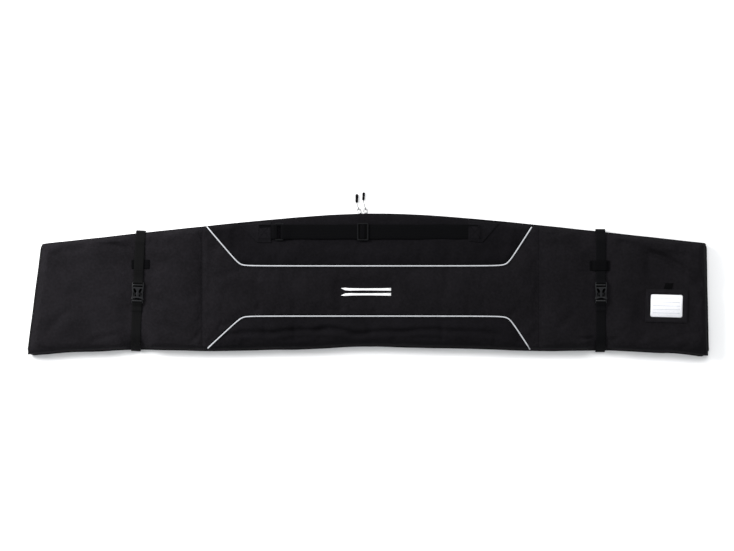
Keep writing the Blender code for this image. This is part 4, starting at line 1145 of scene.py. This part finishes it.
def build_pull(side, x, skew, yaw, lean, reach, grip_len, grip_w):
    """Slider, wire bail, cord and ribbed grip."""
    place = track_frame(x)
    soften("slider_body_" + side, "zip_slider_" + side, METAL, 0.0004, 2)
    hinge = place @ Matrix.Translation((0.0, LUG_OUT, 0.0)) @ Matrix.Rotation(BAIL_SLOPE, 4, "X")
    half = 0.5 * BAIL_W
    loop = [(0.0, 0.0, 0.0), (half * 0.7, 0.0, 0.0), (half, 0.0010, 0.0), (half, 0.005, 0.0)]
    for k in range(0, 9):
        a = math.radians(22.5 * k)
        loop.append((half * math.cos(a), BAIL_LEN - half * 0.8 + half * 0.8 * math.sin(a), 0.0))
    loop += [(-half, 0.005, 0.0), (-half, 0.0010, 0.0), (-half * 0.7, 0.0, 0.0)]
    loop = [(px - skew * py, py, pz) for px, py, pz in loop]
    cord_piece("bail_wire_" + side, [hinge @ Vector(p) for p in loop], 0.0008, WIRE, "bail_" + side,
               ("zip_bail_" + side,), cyclic=True)

    tip = hinge @ Vector((-skew * BAIL_LEN, BAIL_LEN, 0.0))
    aim = Matrix.Translation(tip) @ Matrix.Rotation(place.to_euler().z + yaw, 4, "Z")
    ring = 0.0021
    floor = 0.0032 - tip.z
    path = [(0.0, 0.006, -ring * 0.9)]
    for k in range(6):
        a = math.radians(-90.0 - 36.0 * k)
        path.append((0.0, ring * math.cos(a), ring * math.sin(a)))
    path += [(0.0, 0.006, ring * 0.95), (0.0, 0.011, 0.6 * (floor + 0.001) + 0.0008),
             (0.0, 0.6 * reach + 0.4 * 0.011, floor + 0.0002), (0.0, reach - 0.001, floor),
             (-0.008 * math.sin(lean), reach + 0.008 * math.cos(lean), floor)]
    line = resample([aim @ Vector(p) for p in path], 0.0011)
    cord_piece("pull_string_" + side, line, 0.0009, PULL_CORD, "pull_" + side,
               ("pull_cord_" + side,))

    hold = aim @ Matrix.Translation((0.0, reach, 0.0)) @ Matrix.Rotation(lean, 4, "Z")
    rows, section, power = 30, 14, 0.62
    verts = []
    for t in np.linspace(0.0, 1.0, rows):
        ribs = 0.10 * (0.5 + 0.5 * math.cos(2 * math.pi * 6 * t))
        ripple = 1.0 - ribs * smooth(t / 0.15) * smooth((0.9 - t) / 0.15)
        w = 0.5 * grip_w * (0.92 + 0.16 * t) * ripple
        h = 0.0029 * (0.80 + 0.20 * math.sin(math.pi * min(t * 1.2, 1.0))) * ripple
        tip_share = math.sqrt(max(1.0 - max((t - 0.90) / 0.10, 0.0) ** 2, 0.04))
        neck = math.sqrt(max(1.0 - max((0.08 - t) / 0.08, 0.0) ** 2, 0.12))
        for j in range(section):
            a = 2 * math.pi * j / section
            cx, cz = math.cos(a), math.sin(a)
            px = math.copysign(abs(cx) ** power, cx) * w * tip_share * neck
            pz = math.copysign(abs(cz) ** power, cz) * h * tip_share * neck
            verts.append(hold @ Vector((px, grip_len * t, floor + pz)))
    mesh = mesh_from("grip_" + side, verts, tube_faces(rows, section))
    add_piece("grip_" + side, mesh, RUBBER, "pull_" + side, ("pull_grip_" + side,))


build_mark()
build_zip()
build_pull("left", -0.018, 0.36, math.radians(15.0), math.radians(-17.0), 0.017, 0.0230, 0.0080)
build_pull("right", -0.004, 0.10, math.radians(13.0), math.radians(-17.0), 0.023, 0.0215, 0.0068)


# ---------------------------------------------------------------- compression straps
def edge_v(place, line):
    """Position along a strap where it meets an edge."""
    v = 0.0
    for _ in range(6):
        p = place @ Vector((0.0, v, 0.0))
        v += float(line(p.x)) - p.y
    return v


def shade(obj, place, mat, inside):
    """Give the faces that lie inside a shaded gap their own darker material."""
    back = place.inverted()
    obj.data.materials.append(mat)
    for face in obj.data.polygons:
        centre = back @ face.center
        if inside(abs(centre.x), centre.y, centre.z):
            face.material_index = len(obj.data.materials) - 1


def rung(name, place, half, v0, v1, z0, z1, sag, body):
    """Rounded plastic bar across a buckle, lower at its ends by sag."""
    r = 0.0005
    ring = [(v0 + r, z0), (v1 - r, z0), (v1, z0 + r), (v1, z1 - r), (v1 - r, z1), (v0 + r, z1), (v0, z1 - r),
            (v0, z0 + r)]
    us = np.linspace(-half, half, 11)
    verts = [place @ Vector((u, v, z - sag * (u / half) ** 2)) for u in us for v, z in ring]
    add_piece(name, mesh_from(name, verts, tube_faces(len(us), len(ring))), PLASTIC, body)


def sunk(u, v):
    """How far inside the buckle's leaning ovals a point lies, 1 at the middle and 0 at the rim."""
    lean = math.radians(26.0)
    du, dv = u - 0.0070, v - 0.0052
    a, b = du * math.cos(lean) - dv * math.sin(lean), du * math.sin(lean) + dv * math.cos(lean)
    return 1.0 - (a / 0.0034) ** 2 - (b / 0.0068) ** 2


def recessed(u, v):
    """True on the sunk panels beside the buckle's stem."""
    return 0.0032 < u < 0.0112 and -0.0106 < v < 0.0008 and u > 0.0032 + 0.35 * max(-0.0070 - v, 0.0)


def in_buckle_gap(u, v, z):
    """True on the female buckle's faces that lie in shade: its inside, ovals, mouth and rear slot."""
    inside = z < 0.0448 and -0.0165 < v < 0.0262
    oval = sunk(u, v) > 0.0 and z > 0.0440
    return inside or oval or v < -0.0150 and u < 0.0118 or 0.0150 < v < 0.0186 and u < 0.0127


def build_strap(side, spec, keeper_over):
    """Compression strap, keeper and buckle."""
    place = local_frame(*spec)
    # The right strap takes the darker webbing copy: painted shade for the side further from the light.
    weave = WEB if side == "left" else WEB_RIGHT_SHADED

    def over(v, lift):
        p = place @ Vector((0.0, v, 0.0))
        return float(surface_z(p.x, p.y)) + lift

    top = edge_v(place, top_edge)
    low = edge_v(place, bottom_edge)
    half = 0.5 * WEB_T
    under = 0.0002 + half
    lying = CROWN_Z + 0.0005 + half
    keeper_v = 0.0715 if keeper_over else 0.0755
    raised = lying if keeper_over else lying + 0.0024

    path = [(top - 0.020, under), (top + 0.0010, under), (top + 0.0045, under + 0.0015)]
    path += [(top + 0.0068, 0.006), (top + 0.0075, 0.013), (top + 0.0066, 0.021), (top + 0.0035, 0.0275)]
    for d in (0.004, 0.009, 0.015, 0.022):
        path.append((top - d, over(top - d, 0.0022 + half)))
    path += [(top - 0.032, lying + 0.0006), (keeper_v + 0.020, raised), (keeper_v - 0.0145, raised)]
    path += [(0.0480, lying), (0.0330, lying), (0.0213, lying), (0.0186, lying + 0.0004)]
    path += [(0.0176, lying + 0.0020), (0.0176, 0.0436), (0.0184, 0.0446), (0.0196, 0.0450), (0.0216, 0.0450)]
    path += [(0.0226, 0.0445), (0.0238, 0.0440), (0.0250, 0.0444), (0.0264, 0.0451), (0.0280, 0.0450)]
    path += [(0.0294, 0.0446), (0.0312, 0.0430), (0.0330, 0.0417), (0.0356, 0.0412), (0.0440, 0.0412)]
    path += [(0.0570, 0.0412 if keeper_over else 0.0436)]
    upper = webbing("web_%s_upper" % side, place, path, STRAP_W, weave, nodes=("strap_%s_upper" % side,),
                    step=0.0012)
    # Painted shade: the webbing's faces that dip into the buckle's slots and run under its end get the
    # near-black webbing.
    shade(upper, place, WEB_PAINTED_SHADE,
          lambda u, v, z: 0.0220 < v < 0.0256 and z > 0.0425 or v < 0.0190 and z > 0.0402)
    webbing("web_%s_back" % side, place, [(top - 0.019, under), (0.0, under), (low + 0.019, under)], STRAP_W,
            weave, nodes=("strap_%s_back" % side,), step=0.01)

    path = [(-0.0420, 0.0393), (-0.0266, 0.0393), (-0.0236, 0.0398), (-0.0221, 0.0416), (-0.0222, 0.0428)]
    path += [(-0.0231, 0.0440), (-0.0244, 0.0448), (-0.0262, 0.0451), (-0.0282, 0.0446), (-0.0360, 0.0414)]
    path += [(-0.0460, 0.0413), (-0.0520, lying)]
    for d in (0.050, 0.042, 0.034, 0.027, 0.020, 0.014, 0.008, 0.003):
        path.append((low + d, over(low + d, 0.0005 + half + 0.0028 * (1.0 - d / 0.05))))
    path += [(low - 0.0030, 0.0105), (low - 0.0053, 0.0062), (low - 0.0050, 0.0030)]
    path += [(low - 0.0032, under + 0.0003), (low - 0.0010, under), (low + 0.020, under)]
    lower = webbing("web_%s_lower" % side, place, path, STRAP_W, weave, nodes=("strap_%s_lower" % side,),
                    step=0.0014, ride=False)
    # Painted shadow: a near-black band on the webbing just below the male's bar.
    shade(lower, place, WEB_PAINTED_SHADE, lambda u, v, z: -0.0266 < v < -0.0210 and z > 0.0405)
    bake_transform(lower)

    if keeper_over:
        run = [(-0.0295, lying), (-0.0210, lying), (-0.0180, lying + 0.0014), (-0.0158, lying + 0.0024)]
        run += [(0.0138, lying + 0.0024), (0.0154, lying + 0.0014), (0.0172, lying), (0.0222, lying)]
        spot = place @ Matrix.Translation((0.0, keeper_v, 0.0)) @ Matrix.Rotation(-math.pi / 2, 4, "Z")
        webbing("keeper_" + side, spot, run, 0.027, WEB_HANDLE, nodes=("strap_keeper_" + side,), step=0.0015)
        bars = (-0.0258, 0.0196)
        wide = 0.0115
    else:
        turn = Matrix.Rotation(-math.pi / 2 - spec[2], 4, "Z")
        spot = place @ Matrix.Translation((0.0025, keeper_v, 0.0)) @ turn
        webbing("keeper_" + side, spot, [(-0.022, lying), (0.0, lying), (0.025, lying)], 0.024,
                WEB_HANDLE, nodes=("strap_keeper_" + side,), step=0.0015)
        bars = (-0.0192, 0.0220)
        wide = 0.0100
    for b in bars:
        for w in (-0.0012, 0.0012):
            ends = [spot @ Vector((u, b + w, lying + half + 0.0001)) for u in (-wide, wide)]
            stitch("keeper", [list(e) for e in ends], 0.0026, 0.0020)
    for part in ("female", "male", "prong_a", "prong_b"):
        # The prongs take the near-black plastic: painted shade, as they sit inside the female.
        clip = soften("clip_%s_%s" % (side, part), "buckle_%s_%s" % (side, part),
                      PLASTIC_PAINTED_SHADE if "prong" in part else PLASTIC, 0.0005 if part == "female" else 0.0004, 2,
                      crown=place if part == "female" else None)
        if part == "female":
            # Painted shade on the female: darker plastic on the sunk panels beside the stem.
            shade(clip, place, PLASTIC_RECESS_SHADE, lambda u, v, z: recessed(u, v) and z > 0.0440)
            # Painted shade: near-black plastic in the female's inside, ovals, mouth and rear slot.
            shade(clip, place, PLASTIC_PAINTED_SHADE, in_buckle_gap)
        if part == "male":
            # Painted shade: the male's faces in the female's mouth and inside it get the near-black plastic.
            shade(clip, place, PLASTIC_PAINTED_SHADE, lambda u, v, z: v > -0.0190)
            back = place.inverted()
            for vert in clip.data.vertices:
                at = back @ vert.co
                if -0.0206 < at.y < -0.0191 and abs(at.x) < 0.0136:
                    vert.co += place.to_3x3() @ Vector((0.0, -0.0014, 0.0))
    rung("clip_%s_ladder" % side, place, 0.0128, 0.0191, 0.0221, 0.0459, 0.0474, 0.0009, "bag")
    rung("clip_%s_rear_bar" % side, place, 0.0130, -0.0232, -0.0188, 0.0450, 0.0466, 0.0003, "plug_" + side)
    # A near-black sheet on the buckle's floor: painted shade seen through its openings.
    low_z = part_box("buckle_%s_female" % side)[0].z + 0.0003
    mesh = slab("clip_shadow_floor", place, (-0.0128, -0.0125, low_z), (0.0128, 0.0118, low_z + 0.0003))
    add_piece("clip_%s_floor" % side, mesh, PLASTIC_PAINTED_SHADE, "bag")


build_strap("left", LEFT_STRAP, False)
build_strap("right", RIGHT_STRAP, True)


# ---------------------------------------------------------------- handle
ALONG_HANDLE = Matrix.Translation((0.0, HANDLE_Y, 0.0)) @ Matrix.Rotation(-math.pi / 2, 4, "Z")
HALF = 0.5 * WEB_T
BAR_TOP_Z = 0.0440
STRAP_LOW = CROWN_Z + 0.0004 + HALF
STRAP_MAIN = STRAP_LOW + WEB_T + 0.0004
LOOP_OVER, LOOP_UNDER = BAR_TOP_Z + 0.0005 + HALF, STRAP_LOW
GLIDE_BAR_X = -0.0125


def build_patch(name, node, corners, cover):
    """Sewn patch that follows the shell, with a raised hem, and lies over the webbing's end."""
    a, b, c, d = (np.array(p) for p in corners)
    count_u, count_v = 28, 26
    us, vs = clustered(count_u, 0.7), clustered(count_v, 0.7)
    verts = np.empty((count_u, count_v, 3))
    for i, u in enumerate(us):
        for j, v in enumerate(vs):
            p = (a * (1 - u) + b * u) * (1 - v) + (d * (1 - u) + c * u) * v
            rim = min(u, 1 - u, v, 1 - v)
            lift = 0.0004 + 0.0011 * float(smooth(rim / 0.03))
            lift += 0.0004 * math.exp(-((rim - 0.06) / 0.03) ** 2)
            beyond = max(cover[0] - p[0], p[0] - cover[1], abs(p[1] - HANDLE_Y) - 0.0188, 0.0)
            lift += 0.0021 * float(smooth(1.0 - beyond / 0.0042))
            verts[i, j] = (p[0], p[1], float(surface_z(p[0], p[1])) + lift)
    mesh = mesh_from(name, verts.reshape(-1, 3), grid_faces(count_u, count_v))
    if mesh.polygons[0].normal.z < 0:
        mesh.flip_normals()
    obj = add_piece(name, mesh, PATCH, None)
    bake(obj, "SOLIDIFY", thickness=0.0012)
    obj.data.name = name
    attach(obj, "bag")
    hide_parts(node)
    inner = []
    for u, v in ((0.06, 0.06), (0.94, 0.06), (0.94, 0.94), (0.06, 0.94), (0.06, 0.06)):
        p = (a * (1 - u) + b * u) * (1 - v) + (d * (1 - u) + c * u) * v
        inner.append(p)
    for p, q in zip(inner, inner[1:]):
        run = [p + (q - p) * t for t in np.linspace(0.0, 1.0, 12)]
        row = [(r[0], r[1], float(surface_z(r[0], r[1])) + 0.0017) for r in run]
        # Topstitching in dark thread, made wide and nearly continuous so that it also paints the shadow line
        # along the patch's hem.
        stitch("patch", row, 0.0034, 0.0029, 0.0011)


def box_cross(x0, x1, y0, y1, z):
    """Box of stitches with a cross in it."""
    corners = [(x0, y0, z), (x1, y0, z), (x1, y1, z), (x0, y1, z)]
    stitch_round("box", corners, 0.0030, 0.0023, 0.0008, 0.0003)
    stitch("box", [corners[0], corners[2]], 0.0030, 0.0023, 0.0009, 0.0003)
    stitch("box", [corners[1], corners[3]], 0.0030, 0.0023, 0.0009, 0.0003)


def handle_sway(x):
    """How far the handle webbing wanders sideways, none at its ends and under the tri-glide."""
    size = 0.0003 + 0.0007 * smooth((x - 0.115) / 0.03)
    size = size * smooth((0.25 - x) / 0.05) * smooth((x + 0.21) / 0.05)
    size *= smooth((np.abs(x - GLIDE_BAR_X) - 0.016) / 0.02)
    return size * (np.sin(x * 52.0 + 1.0) + 0.5 * np.sin(x * 118.0))


def build_handle():
    """Patches, ring, tri-glide and the webbing layers."""
    build_patch("patch_left", "handle_patch_left",
                ((-0.291, 0.111), (-0.2535, 0.111), (-0.2535, float(top_edge(-0.2535)) - 0.004),
                 (-0.338, float(top_edge(-0.338)) - 0.006)), (-0.288, -0.2500))
    build_patch("patch_right", "handle_patch_right",
                ((0.2665, 0.115), (0.303, 0.111), (0.3480, float(top_edge(0.348)) - 0.006),
                 (0.2665, float(top_edge(0.2665)) - 0.004)), (0.2600, 0.2945))
    mid = 0.5 * (LOOP_OVER + LOOP_UNDER)
    tab = [(-0.2850, STRAP_LOW), (-0.2620, STRAP_LOW), (-0.2545, STRAP_LOW + 0.0002), (-0.2480, LOOP_OVER)]
    tab += [(-0.2430, LOOP_OVER), (-0.2398, LOOP_OVER), (-0.2386, LOOP_OVER - 0.0004)]
    tab += [(-0.2381, LOOP_OVER - 0.0013), (-0.2380, mid), (-0.2381, LOOP_UNDER + 0.0013)]
    tab += [(-0.2386, LOOP_UNDER + 0.0004), (-0.2398, LOOP_UNDER), (-0.2430, LOOP_UNDER)]
    tab += [(-0.2510, LOOP_UNDER)]
    webbing("web_ring_tab", ALONG_HANDLE, tab, HANDLE_W, WEB_HANDLE, nodes=("handle_ring_tab",), step=0.0012)
    main = [(-0.1400, STRAP_LOW), (-0.2000, STRAP_LOW), (-0.2255, LOOP_UNDER), (-0.2276, LOOP_UNDER + 0.0008)]
    main += [(-0.2284, mid), (-0.2276, LOOP_OVER - 0.0008), (-0.2255, LOOP_OVER), (-0.2200, LOOP_OVER)]
    main += [(-0.2000, STRAP_MAIN + 0.0010), (-0.1800, STRAP_MAIN)]
    for x, dip in ((-0.160, 0.0), (-0.145, 0.0002), (-0.100, 0.0001), (-0.050, 0.0), (0.0, 0.0),
                   (0.050, 0.0001), (0.100, 0.0), (0.128, 0.0003), (0.155, 0.0012), (0.195, 0.0018),
                   (0.240, 0.0014)):
        main.append((x, STRAP_MAIN - dip))
    main += [(0.2600, STRAP_LOW + 0.0001), (0.2680, STRAP_LOW), (0.2900, STRAP_LOW)]
    strap = webbing("web_handle_main", ALONG_HANDLE, main, HANDLE_W, WEB_HANDLE, nodes=("handle_strap_main",),
                    step=0.0016, ride=False, sway=handle_sway)
    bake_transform(strap)
    run = [(-0.150, STRAP_LOW), (-0.08, STRAP_LOW), (GLIDE_BAR_X - 0.0035, STRAP_LOW)]
    layer = webbing("web_handle_return", ALONG_HANDLE, run, HANDLE_W, WEB_HANDLE,
                    nodes=("handle_strap_return",), step=0.004, ride=False)
    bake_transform(layer)
    # A thin near-black sheet under the tri-glide fills its slots: painted shade.
    under = [(-0.0236, 0.0425), (GLIDE_BAR_X, 0.0425), (-0.0013, 0.0425)]
    webbing("web_glide_painted_shadow", ALONG_HANDLE, under, 0.0385, WEB_PAINTED_SHADE, "glide", thickness=0.0006, step=0.002)
    wrap = [(-0.0188, 0.0426), (-0.0180, 0.0432), (-0.0165, 0.0438), (-0.0125, 0.0440), (-0.0080, 0.0438)]
    wrap += [(-0.0066, 0.0432), (-0.0058, 0.0426)]
    webbing("web_glide_wrap", ALONG_HANDLE, wrap, 0.0372, WEB_HANDLE, "glide", thickness=0.0012, step=0.001)
    soften("ring_loop", "handle_ring", GLIDE, 0.0003, 2)
    soften("glide_bar", "tri_glide", GLIDE, 0.0006, 2)
    box_cross(-0.2868, -0.2575, HANDLE_Y - 0.0176, HANDLE_Y + 0.0176, CROWN_Z + 0.0037)
    box_cross(0.2685, 0.2985, HANDLE_Y - 0.0176, HANDLE_Y + 0.0176, CROWN_Z + 0.0037)


build_handle()


# ---------------------------------------------------------------- card holder
def build_card():
    """Stitched holder, clear window, lined card and its pull tab."""
    place = local_frame(CARD_CENTRE[0], CARD_CENTRE[1], CARD_TILT)
    soften("holder_frame", "card_frame", VINYL, 0.0004, 2)
    soften("holder_window", "card_window", FILM, 0.0002, 2)
    soften("writing_card", "lined_card", CARD, 0.0001, 1)
    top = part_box("lined_card")[1].z
    for k, y in enumerate((0.019, 0.0095, 0.0, -0.0095, -0.019)):
        mesh = slab("card_line", place, (-0.036, y - 0.0004, top - 0.0002), (0.036, y + 0.0004, top + 0.00005))
        add_piece("card_line_%d" % (k + 1), mesh, INK, "card")
    loop = []
    for cx, cy, start in ((1, 1, 0), (-1, 1, 90), (-1, -1, 180), (1, -1, 270)):
        for k in range(5):
            a = math.radians(start + 22.5 * k)
            corner = (cx * 0.0378 + 0.0055 * math.cos(a), cy * 0.0253 + 0.0055 * math.sin(a), top + 0.0006)
            loop.append(place @ Vector(corner))
    cord_piece("film_edge", loop, 0.0011, FILM_EDGE, "bag", cyclic=True, flat=0.35)
    soften("card_tab", "card_pull_tab", WEB_HANDLE, 0.0002, 1)
    z = CROWN_Z + 0.0022
    for w, h in ((0.0555 - 0.0025, 0.0435 - 0.0025), (0.0480, 0.0345)):
        corners = [list(place @ Vector(p)) for p in ((-w, -h, z), (w, -h, z), (w, h, z), (-w, h, z))]
        stitch_round("holder", corners, 0.0036, 0.0027)


build_card()
sew()
